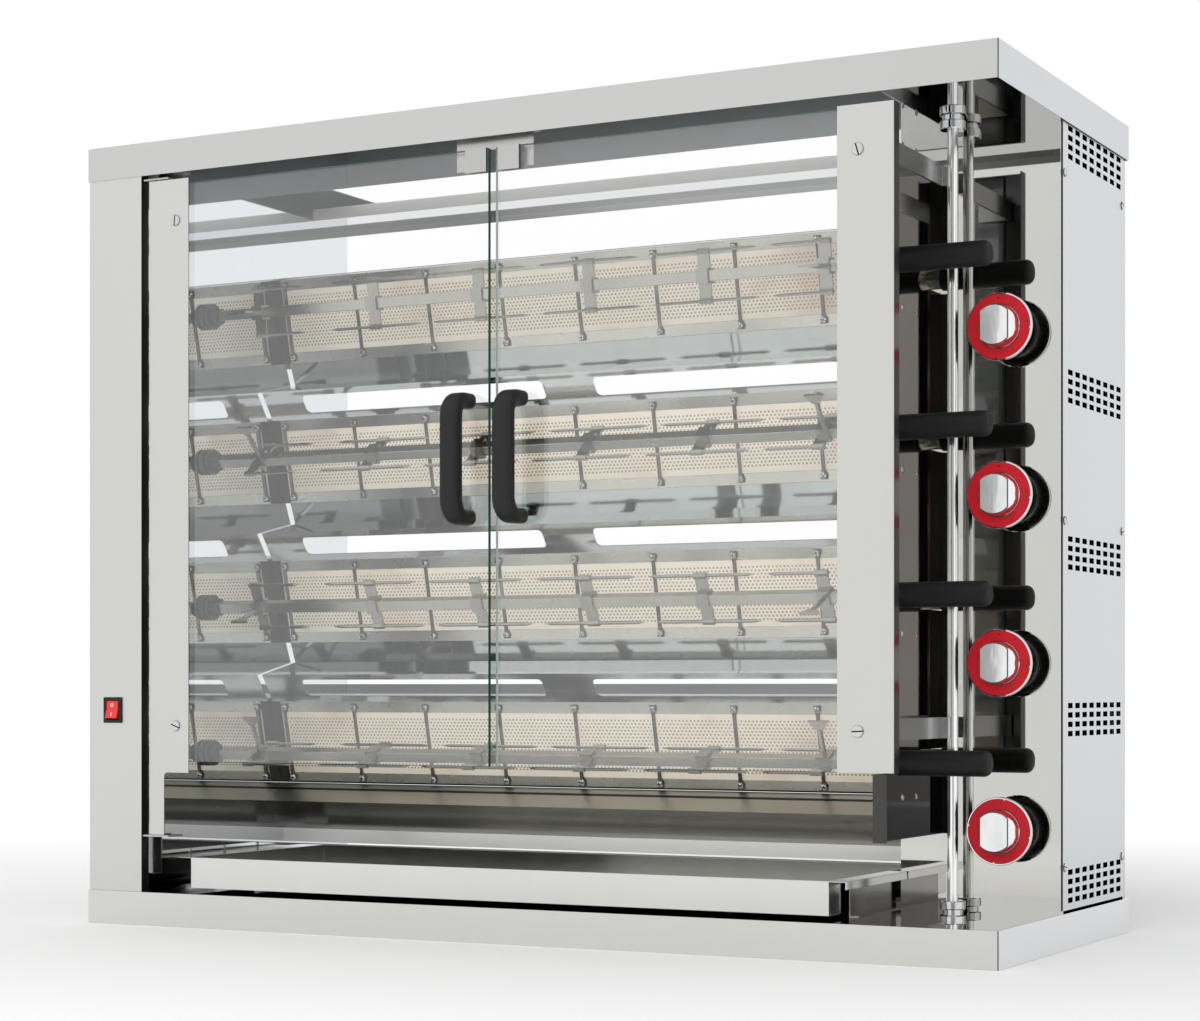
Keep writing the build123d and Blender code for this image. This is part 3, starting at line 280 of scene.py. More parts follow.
# For each wall: its tone, the painted shade on its front strip and where the strip begins, and the height up
# to which a painted dark reflection darkens it.
left_wall_tone = (0.78, 0.805, 0.83, 1.0)
left_gap_shade_tone = (0.05, 0.047, 0.045, 1.0)
left_gap_edge = -0.206
left_dark_reflection_top = 0.0
end_wall_tone = (0.62, 0.59, 0.57, 1.0)
end_gap_shade_tone = (0.09, 0.086, 0.08, 1.0)
end_gap_edge = -0.1208
end_dark_reflection_top = 0.2
left_wall_steel = dark_edge_steel(left_wall_tone, left_gap_edge, left_gap_shade_tone, left_dark_reflection_top)
end_wall_steel = dark_edge_steel(end_wall_tone, end_gap_edge, end_gap_shade_tone, end_dark_reflection_top)
dress(lining_steel, "base_floor")
dress(column_steel, "control_column")
dress(finish("left wall", left_wall_steel), "left_chamber_wall")
dress(finish("right end wall", end_wall_steel), "right_end_wall")


# Ceiling: a polished plate under the lid with a broad flue opening, cut as far as the chamber's left wall.
# The strip turned up along the opening's back edge keeps its satin grind.
def piece(name, shape, body, slot, *materials, angle=35.0):
    """Turn a finished bmesh into an object that moves with one body of the frame."""
    mesh = bpy.data.meshes.new(name)
    shape.to_mesh(mesh)
    shape.free()
    for material in materials:
        mesh.materials.append(material)
    mesh.shade_smooth()
    mesh.set_sharp_from_angle(angle=radians(angle))
    made = bpy.data.objects.new(name, mesh)
    bpy.context.collection.objects.link(made)
    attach(made, body)
    return made


def add_block(shape, low, high, material=0):
    """Add a square-edged block between two corners to a shape."""
    low, high = Vector(low), Vector(high)
    block = bmesh.ops.create_cube(shape, size=1.0)["verts"]
    bmesh.ops.scale(shape, vec=high - low, verts=block)
    bmesh.ops.translate(shape, vec=(low + high) / 2, verts=block)
    for face in {face for vert in block for face in vert.link_faces}:
        face.material_index = material


def upstand_satin(shade):
    """Dull satin sheet that scatters the light from the opening."""
    scratch = shade.noise(along_x, detail=3.0)
    colour = shade.mix(scratch, (0.74, 0.745, 0.72, 1.0), (0.82, 0.825, 0.8, 1.0))
    return shade.node("BsdfPrincipled", sockets={"Base Color": colour, "Metallic": 0.2, "Roughness": 0.45})


ceiling_low, ceiling_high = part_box("ceiling_plate")
ceiling_sheet = 0.0012
ceiling_top = ceiling_low[2] + ceiling_sheet
flue_left, flue_right, flue_front, flue_back = -0.5066, 0.340, -0.020, 0.148
plate = bmesh.new()
add_block(plate, ceiling_low, (ceiling_high[0], flue_front, ceiling_top))
add_block(plate, (ceiling_low[0], flue_back, ceiling_low[2]), (ceiling_high[0], ceiling_high[1], ceiling_top))
add_block(plate, (ceiling_low[0], flue_front, ceiling_low[2]), (flue_left, flue_back, ceiling_top))
add_block(plate, (flue_right, flue_front, ceiling_low[2]), (ceiling_high[0], flue_back, ceiling_top))
upstand_front = flue_back - ceiling_sheet
add_block(plate, (flue_left, upstand_front, ceiling_low[2]), (flue_right, flue_back, ceiling_high[2]), 1)
upstand_steel = finish("satin upstand", upstand_satin)
made = piece("ceiling_sheet", plate, "cabinet", "plain_steel", lining_steel, upstand_steel)
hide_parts("ceiling_plate")


# Rivets: a column of domed pop rivets in the right end wall's flange, and a row over the left tray runner.
# They are stainless, with the small hole that the pulled pin leaves in the middle.
def facing(place, outward, turn=0.0):
    """Matrix that stands a shape made along Z on a place, pointing outward."""
    stand = Vector(outward).to_track_quat("Z", "Y").to_matrix().to_4x4()
    return Matrix.Translation(place) @ stand @ Matrix.Rotation(turn, 4, "Z")


def turned(profile, steps=48):
    """Spin a profile of radius and height pairs round Z."""
    shape = bmesh.new()
    ring = [shape.verts.new((radius, 0.0, height)) for radius, height in profile]
    edges = [shape.edges.new(pair) for pair in zip(ring, ring[1:])]
    turn = {"cent": (0, 0, 0), "axis": (0, 0, 1), "angle": radians(360), "steps": steps}
    bmesh.ops.spin(shape, geom=ring + edges, use_merge=True, **turn)
    bmesh.ops.remove_doubles(shape, verts=shape.verts, dist=0.00001)
    bmesh.ops.recalc_face_normals(shape, faces=shape.faces)
    return shape


def pattern(shape):
    """Keep a small shape as a mesh that can be stamped many times."""
    mesh = bpy.data.meshes.new("pattern")
    shape.to_mesh(mesh)
    shape.free()
    return mesh


def stamp(mesh, places):
    """One shape with a copy of a small pattern at each place."""
    shape = bmesh.new()
    for matrix in places:
        first = len(shape.verts)
        shape.from_mesh(mesh)
        shape.verts.ensure_lookup_table()
        bmesh.ops.transform(shape, matrix=matrix, verts=shape.verts[first:])
    return shape


bright_steel = finish("bright fastener", mirror_steel((0.66, 0.67, 0.67, 1.0), 0.1, 0.0))
rivet_profile = [(0.0, 0.0006), (0.0011, 0.0006), (0.0014, 0.0015), (0.0024, 0.0013), (0.0034, 0.0006),
                 (0.0038, 0.0)]
rivet = pattern(turned(rivet_profile, steps=16))
wall_face = 0.400
wall_rivet_y = -0.036
wall_rivet_heights = (0.886, 0.706, 0.527, 0.345, 0.164)
runner_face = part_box("tray_runners")[0][0]
runner_rivet_rows = (-0.123, -0.052, 0.020)
runner_rivet_z = 0.0835
rivet_places = [facing((wall_face, wall_rivet_y, z), (1, 0, 0)) for z in wall_rivet_heights]
rivet_places += [facing((runner_face, y, runner_rivet_z), (1, 0, 0)) for y in runner_rivet_rows]
piece("wall_rivets", stamp(rivet, rivet_places), "cabinet", "plain_steel", bright_steel)


# Frames and brackets: the back's cross bars, the tray runners, the door catch and the left door's pivots.
# They are pressed from plain mill-finish steel and spot-welded, and are a little dull from heat and fat.
def mill_steel(tone, roughness):
    """Plain rolled steel with faint stains."""

    def surface(shade):
        stain = shade.noise((14.0, 14.0, 14.0), detail=5.0)
        fine = shade.noise((160.0, 160.0, 160.0))
        sockets = {
            "Base Color": shade.mix(stain, darker(tone, 0.72), tone),
            "Metallic": 1.0,
            "Roughness": roughness + 0.14 * stain,
            "Normal": shade.bump(fine, 0.05, 0.0003),
        }
        return shade.node("BsdfPrincipled", sockets=sockets)

    return surface


frame_steel = finish("mill steel", mill_steel((0.6, 0.6, 0.585, 1.0), 0.2))
runner_steel = finish("runner steel", mill_steel((0.42, 0.41, 0.4, 1.0), 0.12))
back_low, back_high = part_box("back_frame")
bar_edges = [(back_low[2], 0.072), (0.179, 0.2905), (0.361, 0.467), (0.543, 0.649), (0.725, 0.851)]


def back_sheet(shade):
    """Satin sheet, clouded by heat."""
    stain = shade.noise((14.0, 14.0, 14.0), detail=5.0)
    sockets = {
        "Base Color": shade.mix(stain, (0.52, 0.54, 0.57, 1.0), (0.64, 0.67, 0.71, 1.0)),
        "Metallic": 0.5,
        "Roughness": 0.38 + 0.14 * stain,
    }
    return shade.node("BsdfPrincipled", sockets=sockets)


bars = bmesh.new()
for bar_low, bar_high in bar_edges:
    add_block(bars, (back_low[0], back_low[1], bar_low), (back_high[0], back_high[1], bar_high))
made = piece("back_bars", bars, "cabinet", "plain_steel", finish("heat-clouded back", back_sheet))
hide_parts("back_frame")
dress(frame_steel, "left_pivot_brackets", "door_catch")
dress(runner_steel, "tray_runners")


# Burners: four folded steel boxes, each with a mixing tube that ends in the control column.
# Their front flanges have gone warm grey from the flames.
box_left, _, box_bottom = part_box("burner_boxes")[0]


def box_sheet(shade):
    """Mill steel, darker at its left ends, with painted shade along its lowest edge."""
    stain = shade.noise((14.0, 14.0, 14.0), detail=5.0)
    low_edge_shade = shade.ramp(shade.along("Z"), box_bottom + 0.0026, box_bottom + 0.0018)
    left_end = shade.ramp(shade.along("X"), box_left + 0.0165, box_left + 0.0155)
    # The lowest edge is painted dark as shade; the left ends are just darker.
    dark = shade.maths("MAXIMUM", low_edge_shade, 0.9 * left_end)
    warm = shade.mix(stain, (0.52, 0.515, 0.46, 1.0), (0.7, 0.695, 0.62, 1.0))
    sockets = {
        "Base Color": shade.mix(dark, warm, (0.03, 0.028, 0.026, 1.0)),
        "Metallic": 1.0,
        "Roughness": 0.2 + 0.14 * stain + 0.3 * dark,
    }
    return shade.node("BsdfPrincipled", sockets=sockets)


dress(finish("burner steel", box_sheet), "burner_boxes", fold=0.0006)


# Ceramic tiles: thirty-two pressed plates of cream honeycomb ceramic, cemented into the burners' mouths.
# Each has a plain border round rows of fine holes, and is scorched pink and brown in places.
tile_low, tile_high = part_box("ceramic_tiles")
tile_columns = 8
tile_rows = 4
tile_pitch = (tile_high[0] - tile_low[0] + 0.0014) / tile_columns
row_pitch = 0.182
top_row = 0.761
face_lean = radians(13)
tile_half = 0.040
hole_pitch = 0.005
hole_row = 0.0042
hole_radius = 0.0012


def honeycomb(shade):
    """Cream ceramic with rows of fine holes, painted dark as the shade inside them, within a plain border;
    scorched most at its hot end.
    """
    across = (shade.along("X") - tile_low[0] + 0.0007) % tile_pitch - tile_pitch / 2
    height = ((shade.along("Z") - top_row + row_pitch / 2) % row_pitch - row_pitch / 2) / cos(face_lean)
    step = shade.maths("FLOOR", height / hole_row)
    shift = (step % 2.0) * (hole_pitch / 2)
    dx = (across + shift) % hole_pitch - hole_pitch / 2
    dz = height % hole_row - hole_row / 2
    near = shade.maths("SQRT", dx * dx + dz * dz)
    inside = (abs(height) < tile_half - 0.007) * (abs(across) < tile_pitch / 2 - 0.004)
    hole = shade.ramp(near, hole_radius + 0.0003, hole_radius - 0.0002) * inside
    hot_end = shade.ramp(shade.along("X"), 0.1, 0.36) * (0.14 + 0.1 * shade.ramp(shade.along("Z"), 0.66, 0.7))
    scorch = shade.noise((9.0, 9.0, 11.0), detail=4.0) + hot_end
    stops = [(0.35, (0.96, 0.9, 0.76, 1.0)), (0.58, (0.94, 0.86, 0.71, 1.0)), (0.8, (0.74, 0.61, 0.5, 1.0))]
    clay = shade.node("ValToRGB", {"stops": stops}, {"Fac": scorch})
    # The holes are painted brown-black for the shade down in them.
    sockets = {
        "Base Color": shade.mix(hole * 0.9, clay, (0.32, 0.23, 0.16, 1.0)),
        "Roughness": 0.85,
        "Normal": shade.bump(1.0 - hole, 0.35, 0.0008),
    }
    return shade.node("BsdfPrincipled", sockets=sockets)


dress(finish("honeycomb ceramic", honeycomb), "ceramic_tiles")


# Tile clips: thirty-six waisted strips pressed from thin steel, screwed over the joints between the tiles.
# The flame has tinted them brown and straw; each is held by a small domed cross-head screw at each end.
def tinted_steel(shade):
    """Thin steel with heat colours from dark brown to straw."""
    heat = shade.noise((70.0, 30.0, 26.0), detail=3.0)
    stops = [
        (0.3, (0.06, 0.05, 0.045, 1.0)),
        (0.45, (0.15, 0.13, 0.11, 1.0)),
        (0.6, (0.24, 0.22, 0.2, 1.0)),
        (0.72, (0.38, 0.36, 0.33, 1.0)),
    ]
    tint = shade.node("ValToRGB", {"stops": stops}, {"Fac": heat})
    sockets = {"Base Color": tint, "Metallic": 1.0, "Roughness": 0.34 + 0.2 * heat}
    return shade.node("BsdfPrincipled", sockets=sockets)


def screw_head(radius, rise, flat, slot_width, slot_depth, cross):
    """Screw head with a rounded edge, a flat of the given radius and one slot or a cross; its sides and slot
    take painted shade.
    """
    shoulder = 0.6 * radius + 0.4 * flat
    profile = [(0.0, rise), (flat, rise), (shoulder, 0.88 * rise), (radius, 0.35 * rise), (radius, 0.0)]
    head = turned(profile, 24)
    cuts = [(1.0, 0.0, 0.0), (0.0, 1.0, 0.0)] if cross else [(1.0, 0.0, 0.0)]
    for normal in cuts:
        for side in (-1.0, 1.0):
            geometry = head.verts[:] + head.edges[:] + head.faces[:]
            edge = Vector(normal) * side * slot_width / 2
            bmesh.ops.bisect_plane(head, geom=geometry, plane_co=edge, plane_no=normal)
    reach = 0.66 * radius if cross else 2 * radius
    groove = []
    for face in head.faces:
        middle = face.calc_center_median()
        in_slot = any(abs(middle.dot(Vector(normal))) < slot_width / 2 for normal in cuts)
        if in_slot and middle.xy.length < reach and middle.z > 0.5 * rise:
            groove.append(face)
    sunk = bmesh.ops.extrude_face_region(head, geom=groove)
    bmesh.ops.delete(head, geom=groove, context="FACES_ONLY")
    low = [vert for vert in sunk["geom"] if isinstance(vert, bmesh.types.BMVert)]
    bmesh.ops.translate(head, vec=(0.0, 0.0, -slot_depth), verts=low)
    bmesh.ops.recalc_face_normals(head, faces=head.faces)
    # The head's sides and the slot take the second finish, painted shade.
    for face in head.faces:
        face.material_index = 1 if abs(face.normal.z) < 0.2 or face in sunk["geom"] else 0
    return pattern(head)


# Painted shade for the screw slots and the sides of the heads.
slot_shade = finish("painted shade in the slots", mill_steel((0.05, 0.048, 0.045, 1.0), 0.5))
dress(finish("heat-tinted clip", tinted_steel), "tile_clips")
clip_low, clip_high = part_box("tile_clips")
clip_columns = tile_columns + 1
clip_first = clip_low[0] + 0.0045
clip_step = (clip_high[0] - clip_first - 0.0045) / tile_columns
clip_screw_reach = 0.0465
clip_front = 0.002
clip_mid_y = 0.061
face_out = Vector((0.0, -cos(face_lean), -sin(face_lean)))
face_up = Vector((0.0, -sin(face_lean), cos(face_lean)))
clip_screw_places = []
for row in range(tile_rows):
    for column in range(clip_columns):
        middle = Vector((clip_first + clip_step * column, clip_mid_y, top_row - row_pitch * row))
        for side in (-1, 1):
            place = middle + face_up * side * clip_screw_reach + face_out * clip_front
            clip_screw_places.append(facing(place, face_out, 0.4 * column + row))
clip_head = screw_head(0.0043, 0.0026, 0.0016, 0.001, 0.0009, cross=True)
piece("clip_screws", stamp(clip_head, clip_screw_places), "cabinet", "plain_steel", bright_steel, slot_shade)


# Reflectors: three polished sheets folded to a shelf and a slotted lip, and a plain deflector over the tray.
# They hang under the burners and throw the heat forward; fat and heat have left them hazy.
reflector_steel = finish("hazy reflector", mirror_steel((0.68, 0.71, 0.695, 1.0), 0.03, 0.05))
deflector_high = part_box("lower_deflector")[1]
deflector_heel = 0.1025
deflector_nose = 0.1400
deflector_seam = 0.007


def deflector_sheet(shade):
    """Folded sheet: duller and a little darker over its nose, with painted shade in the hollow under it and
    painted light on the leg.
    """
    haze = shade.noise((30.0, 60.0, 60.0), detail=4.0)
    leg = shade.ramp(shade.along("Z"), deflector_heel + 0.0006, deflector_heel - 0.0002)
    slope = shade.ramp(shade.along("Z"), deflector_nose - 0.0004, deflector_nose + 0.0004)
    from_top = shade.along("Z") - deflector_high[2] + deflector_seam
    root = shade.ramp(abs(from_top), 0.0018, 0.0008)
    upper = shade.mix(slope, (0.5, 0.49, 0.46, 1.0), (0.56, 0.555, 0.52, 1.0))
    # Painted shade in the hollow at the top fold, and painted light on the near-white, less metallic leg.
    whole = shade.mix(leg, shade.mix(root, upper, (0.03, 0.028, 0.026, 1.0)), (0.92, 0.92, 0.9, 1.0))
    sockets = {
        "Base Color": whole,
        "Metallic": 1.0 - 0.7 * leg,
        "Roughness": 0.16 + 0.04 * haze + 0.2 * slope,
    }
    return shade.node("BsdfPrincipled", sockets=sockets)


dress(reflector_steel, "reflectors")
dress(finish("deflector with painted light and shade", deflector_sheet), "lower_deflector")


# Gas train and drives: the rail, four taps, four feed pipes and four gearmotors, all inside the two columns.
# The rail and pipes are bent steel tube, the taps brass, the spindles turned steel, the motors painted grey.
def plain_finish(tone, metal, roughness, waves, strength, shine=0.5):
    """An even finish with a little grain in its colour, gloss and surface."""

    def surface(shade):
        grain = shade.noise((waves, waves, waves), detail=3.0)
        sockets = {
            "Base Color": shade.mix(grain, darker(tone, 0.85), tone),
            "Metallic": metal,
            "Roughness": roughness + 0.1 * grain,
            "Specular IOR Level": shine,
            "Normal": shade.bump(grain, strength, 0.0003),
        }
        return shade.node("BsdfPrincipled", sockets=sockets)

    return surface


pipe_steel = finish("pipe steel", plain_finish((0.5, 0.5, 0.49, 1.0), 1.0, 0.3, 80.0, 0.05))
tap_brass = finish("tap brass", plain_finish((0.68, 0.49, 0.2, 1.0), 1.0, 0.28, 90.0, 0.05))
motor_paint = finish("motor paint", plain_finish((0.2, 0.21, 0.22, 1.0), 0.0, 0.5, 120.0, 0.1))
dress(pipe_steel, "gas_rail", "feed_pipes", "valve_stem_1", "valve_stem_2", "valve_stem_3", "valve_stem_4")
dress(tap_brass, "gas_taps")
dress(motor_paint, "gearmotors")


# Side panel screws: six slotted pan heads that hold the vented panel to the control column's flanges.
# They are stainless and stand just inside the lid's edge.
panel_screw_rows = (0.845, 0.467, 0.090)
panel_screw_columns = (-0.0035, 0.2145)
panel_head = screw_head(0.0048, 0.0024, 0.0022, 0.0011, 0.0012, cross=False)
panel_screw_places = []
for row, z in enumerate(panel_screw_rows):
    for y in panel_screw_columns:
        panel_screw_places.append(facing((side_panel_face, y, z), (1, 0, 0), 0.7 * row + 20 * y))
panel_screws = stamp(panel_head, panel_screw_places)
piece("panel_screws", panel_screws, "cabinet", "plain_steel", bright_steel, slot_shade)


# Grease tray: an open pan folded from polished sheet, with a flange along each side to run on.
# It slides out to the front to be emptied.
tray_steel = finish("polished tray", mirror_steel((0.72, 0.72, 0.7, 1.0), 0.09, 0.05))
dress(tray_steel, "grease_tray", fold=0.0005)


# Door stiles: folded steel strips that hold the panes, with two slotted screws through each.
# The grind is only on the front; the back of the sheet is left bright-rolled, so it mirrors the dark chamber,
# and is also painted dark as shade.
stile_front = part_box("right_stile")[0][1]


def stile_sheet(shade):
    """Satin on the front face; bright-rolled behind it, with painted shade darkening the back."""
    scratch, ground = satin_grind(shade, front_tone, along_z, 0.92)
    behind = shade.ramp(shade.along("Y"), stile_front + 0.0004, stile_front + 0.0008)
    # Behind the front face the colour is painted dark as shade.
    sockets = {
        "Base Color": shade.mix(behind, ground, (0.16, 0.16, 0.165, 1.0)),
        "Metallic": 1.0,
        "Roughness": (0.36 + 0.1 * scratch) * (1.0 - behind) + 0.16 * behind,
        "Normal": shade.bump(scratch, 0.05, 0.0004),
    }
    return shade.node("BsdfPrincipled", sockets=sockets)


dress(finish("stile sheet", stile_sheet), "left_stile", "right_stile", fold=0.0003)
stile_head = screw_head(0.0068, 0.0022, 0.0048, 0.0015, 0.0013, cross=False)
stile_screws = {"left_door": (-0.450, 0.5), "right_door": (0.424, 0.9)}
stile_screw_heights = (0.8435, 0.240)
stile_screw_seat = stile_front + 0.0002
for door, (x, turn) in stile_screws.items():
    places = [facing((x, stile_screw_seat, z), (0, -1, 0), turn + 3 * z) for z in stile_screw_heights]
    piece(f"{door}_screws", stamp(stile_head, places), door, "plain_steel", bright_steel, slot_shade)


# Glass panes: two sheets of toughened float glass with ground edges.
# The broad faces are clear with a faint reflection, and the edges look dark green.
def clear_pane(shade):
    """A faint mirror over what is behind it, with smears in it."""
    smear = shade.noise((4.0, 4.0, 4.0))
    sockets = {
        "Base Color": shade.mix(smear, (0.92, 0.95, 0.94, 1.0), (0.97, 0.98, 0.98, 1.0)),
        "Metallic": 1.0,
        "Roughness": 0.0,
        "Alpha": 0.085,
    }
    return shade.node("BsdfPrincipled", sockets=sockets)


def pane_edge(shade):
    """The dark green of light that has run along inside the sheet."""
    depth = shade.noise((3.0, 3.0, 9.0))
    colour = shade.mix(depth, (0.012, 0.05, 0.035, 1.0), (0.03, 0.1, 0.075, 1.0))
    sockets = {"Base Color": colour, "Roughness": 0.3, "Specular IOR Level": 0.1}
    return shade.node("BsdfPrincipled", sockets=sockets)


glass_clear = finish("clear glass", clear_pane)
glass_edge = finish("green glass edge", pane_edge)
ground_edge = finish("ground glass edge", plain_finish((0.42, 0.5, 0.48, 1.0), 0.0, 0.3, 60.0, 0.0, 0.1))
for side in ("left", "right"):
    low, high = (Vector(corner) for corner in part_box(f"{side}_glass"))
    pane = bmesh.new()
    bmesh.ops.create_cube(pane, size=1.0)
    bmesh.ops.scale(pane, vec=high - low, verts=pane.verts)
    bmesh.ops.translate(pane, vec=(low + high) / 2, verts=pane.verts)
    ground = {"offset": 0.0005, "affect": "EDGES", "segments": 1, "profile": 0.5, "material": -1}
    bmesh.ops.bevel(pane, geom=pane.edges[:], **ground)
    for face in pane.faces:
        face.material_index = 0 if abs(face.normal.y) > 0.9 else 2 if face.normal.x < -0.5 else 1
    made = piece(f"{side}_pane", pane, f"{side}_door", "clear_glass", glass_clear, glass_edge, ground_edge)
    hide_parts(f"{side}_glass")


# Catch clips: a thin folded steel clip over the inner top corner of each pane, where the catch holds it.
# They are bright steel, pushed on over the glass.
clip_steel = finish("catch clip steel", mill_steel((0.62, 0.62, 0.6, 1.0), 0.16))
dress(clip_steel, "left_catch_clip", "right_catch_clip")


# Bow handles: one on each pane, moulded in black nylon with a fine grain and screwed through the glass.
# Each is one bar of rounded section with a bend at either end.
handle_black = finish("handle black", plain_finish((0.012, 0.012, 0.0125, 1.0), 0.0, 0.42, 1400.0, 0.3, 0.3))
handle_thickness = 0.017
handle_round = 0.007
handle_bend = 0.020
for side in ("left", "right"):
    low, high = (Vector(corner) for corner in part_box(f"{side}_handle"))
    outline = bmesh.new()
    corners = bmesh.ops.create_grid(outline, x_segments=1, y_segments=1, size=0.5)["verts"]
    bmesh.ops.scale(outline, vec=(high.x - low.x, handle_thickness, 1.0), verts=corners)
    rounding = {"offset": handle_round, "affect": "VERTICES", "segments": 5, "profile": 0.5, "material": -1}
    bmesh.ops.bevel(outline, geom=corners, **rounding)
    bmesh.ops.delete(outline, geom=outline.faces[:], context="FACES_ONLY")
    stand = Matrix.Translation(((low.x + high.x) / 2, high.y, high.z - handle_thickness / 2))
    bmesh.ops.transform(outline, matrix=stand @ Matrix.Rotation(radians(90), 4, "X"), verts=outline.verts)
    rail = outline.edges[:]
    straight = high.y - low.y - handle_thickness / 2 - handle_bend
    drop = high.z - low.z - handle_thickness - 2 * handle_bend
    bend_y = low.y + handle_thickness / 2 + handle_bend
    runs = [
        ((0.0, -straight, 0.0), high.z - handle_thickness / 2 - handle_bend),
        ((0.0, 0.0, -drop), low.z + handle_thickness / 2 + handle_bend),
        ((0.0, straight, 0.0), None),
    ]
    for run, bend_z in runs:
        grown = bmesh.ops.extrude_edge_only(outline, edges=rail)["geom"]
        moved = [part for part in grown if isinstance(part, bmesh.types.BMVert)]
        bmesh.ops.translate(outline, vec=run, verts=moved)
        rail = [part for part in grown if isinstance(part, bmesh.types.BMEdge)]
        if bend_z is not None:
            ends = [vert for edge in rail for vert in edge.verts]
            bend = {"cent": (0.0, bend_y, bend_z), "axis": (1, 0, 0), "angle": radians(90), "steps": 10}
            bent = bmesh.ops.spin(outline, geom=list(set(ends)) + rail, **bend)["geom_last"]
            rail = [part for part in bent if isinstance(part, bmesh.types.BMEdge)]
    bmesh.ops.remove_doubles(outline, verts=outline.verts, dist=0.00001)
    bmesh.ops.holes_fill(outline, edges=[edge for edge in outline.edges if edge.is_boundary], sides=64)
    bmesh.ops.recalc_face_normals(outline, faces=outline.faces)
    made = piece(f"{side}_bow", outline, f"{side}_door", "black_plastic", handle_black, angle=50.0)
    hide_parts(f"{side}_handle")


# Right hinge: a chromed rod that turns in two grooved bushes, with two bent steel arms welded to it.
# The arms reach forward to the back of the pane.
chrome = finish("chrome", mirror_steel((0.76, 0.77, 0.78, 1.0), 0.01, 0.03))
rod_chrome = finish("rod chrome", mirror_steel((0.97, 0.98, 0.97, 1.0), 0.13, 0.03))
arm_steel = finish("arm steel", mill_steel((0.64, 0.65, 0.65, 1.0), 0.14))
dress(arm_steel, "hinge_arms", fold=0.0005)
rod_low, rod_high = (Vector(corner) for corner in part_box("hinge_rod"))
rod_radius = (rod_high.x - rod_low.x) / 2
rod_mid = (rod_low + rod_high) / 2
rod_length = rod_high.z - rod_low.z
rod_chamfer = 0.0005
rod_shape = turned([(0.0, 0.0), (rod_radius - rod_chamfer, 0.0), (rod_radius, rod_chamfer),
                    (rod_radius, rod_length - rod_chamfer), (rod_radius - rod_chamfer, rod_length),
                    (0.0, rod_length)])
bmesh.ops.translate(rod_shape, vec=(rod_mid.x, rod_mid.y, rod_low.z), verts=rod_shape.verts)
made = piece("round_rod", rod_shape, "right_door", "plain_steel", rod_chrome)
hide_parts("hinge_rod")
bush_low, bush_high = (Vector(corner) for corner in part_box("rod_bushes"))
bush_bore = rod_radius + 0.0001
bush_profile = [(bush_bore, 0.0), (0.0115, 0.0), (0.0115, 0.0028), (0.0138, 0.0032), (0.0144, 0.004),
                (0.0144, 0.0118), (0.0138, 0.0126), (bush_bore + 0.0008, 0.0126), (bush_bore, 0.012),
                (bush_bore, 0.0)]
bush = pattern(turned(bush_profile))
bush_places = [facing((rod_mid.x, rod_mid.y, bush_low.z), (0, 0, 1)),
               facing((rod_mid.x, rod_mid.y, bush_high.z), (0, 0, -1))]
made = piece("round_bushes", stamp(bush, bush_places), "cabinet", "plain_steel", chrome)
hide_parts("rod_bushes")


# Mains switch: a black bezel snapped into the motor column, with a red rocker marked for on and off.
# Both are moulded; the marks are printed in white.
def gloss_plastic(tone, roughness, coat=0.4, shine=0.5):
    """Smooth moulded plastic with a thin gloss."""

    def surface(shade):
        grain = shade.noise((300.0, 300.0, 300.0))
        sockets = {
            "Base Color": shade.mix(grain, darker(tone, 0.8), tone),
            "Roughness": roughness + 0.06 * grain,
            "Coat Weight": coat,
            "Specular IOR Level": shine,
        }
        return shade.node("BsdfPrincipled", sockets=sockets)

    return surface


bezel_black = finish("bezel black", plain_finish((0.012, 0.012, 0.0125, 1.0), 0.0, 0.4, 700.0, 0.2, 0.3))
switch_red = finish("switch red", gloss_plastic((0.75, 0.015, 0.012, 1.0), 0.2))
mark_white = finish("white mark", gloss_plastic((0.85, 0.84, 0.8, 1.0), 0.4))
dress(bezel_black, "switch_bezel", fold=0.0005)
dress(switch_red, "rocker", fold=0.0006)
rocker_middle = Vector((-0.541, -0.2308, 0.2585))
rocker_lean = radians(10)
rocker_up = Vector((0.0, sin(rocker_lean), cos(rocker_lean)))
rocker_out = Vector((0.0, -cos(rocker_lean), sin(rocker_lean)))
mark_reach = 0.0056
mark_rise = 0.0033
dish = 0.133
ring_mark = turned([(0.0015, 0.0), (0.0022, 0.0), (0.0022, 0.0003), (0.0015, 0.0003), (0.0015, 0.0)], 24)
bar_mark = bmesh.new()
bmesh.ops.create_cube(bar_mark, size=1.0)
bmesh.ops.scale(bar_mark, vec=(0.0009, 0.0046, 0.0004), verts=bar_mark.verts)
for name, shape, way in (("off_mark", ring_mark, 1), ("on_mark", bar_mark, -1)):
    place = rocker_middle + rocker_up * way * mark_reach + rocker_out * mark_rise
    bmesh.ops.transform(shape, matrix=facing(place, rocker_out - rocker_up * way * dish), verts=shape.verts)
    piece(name, shape, "rocker", "red_plastic", mark_white)


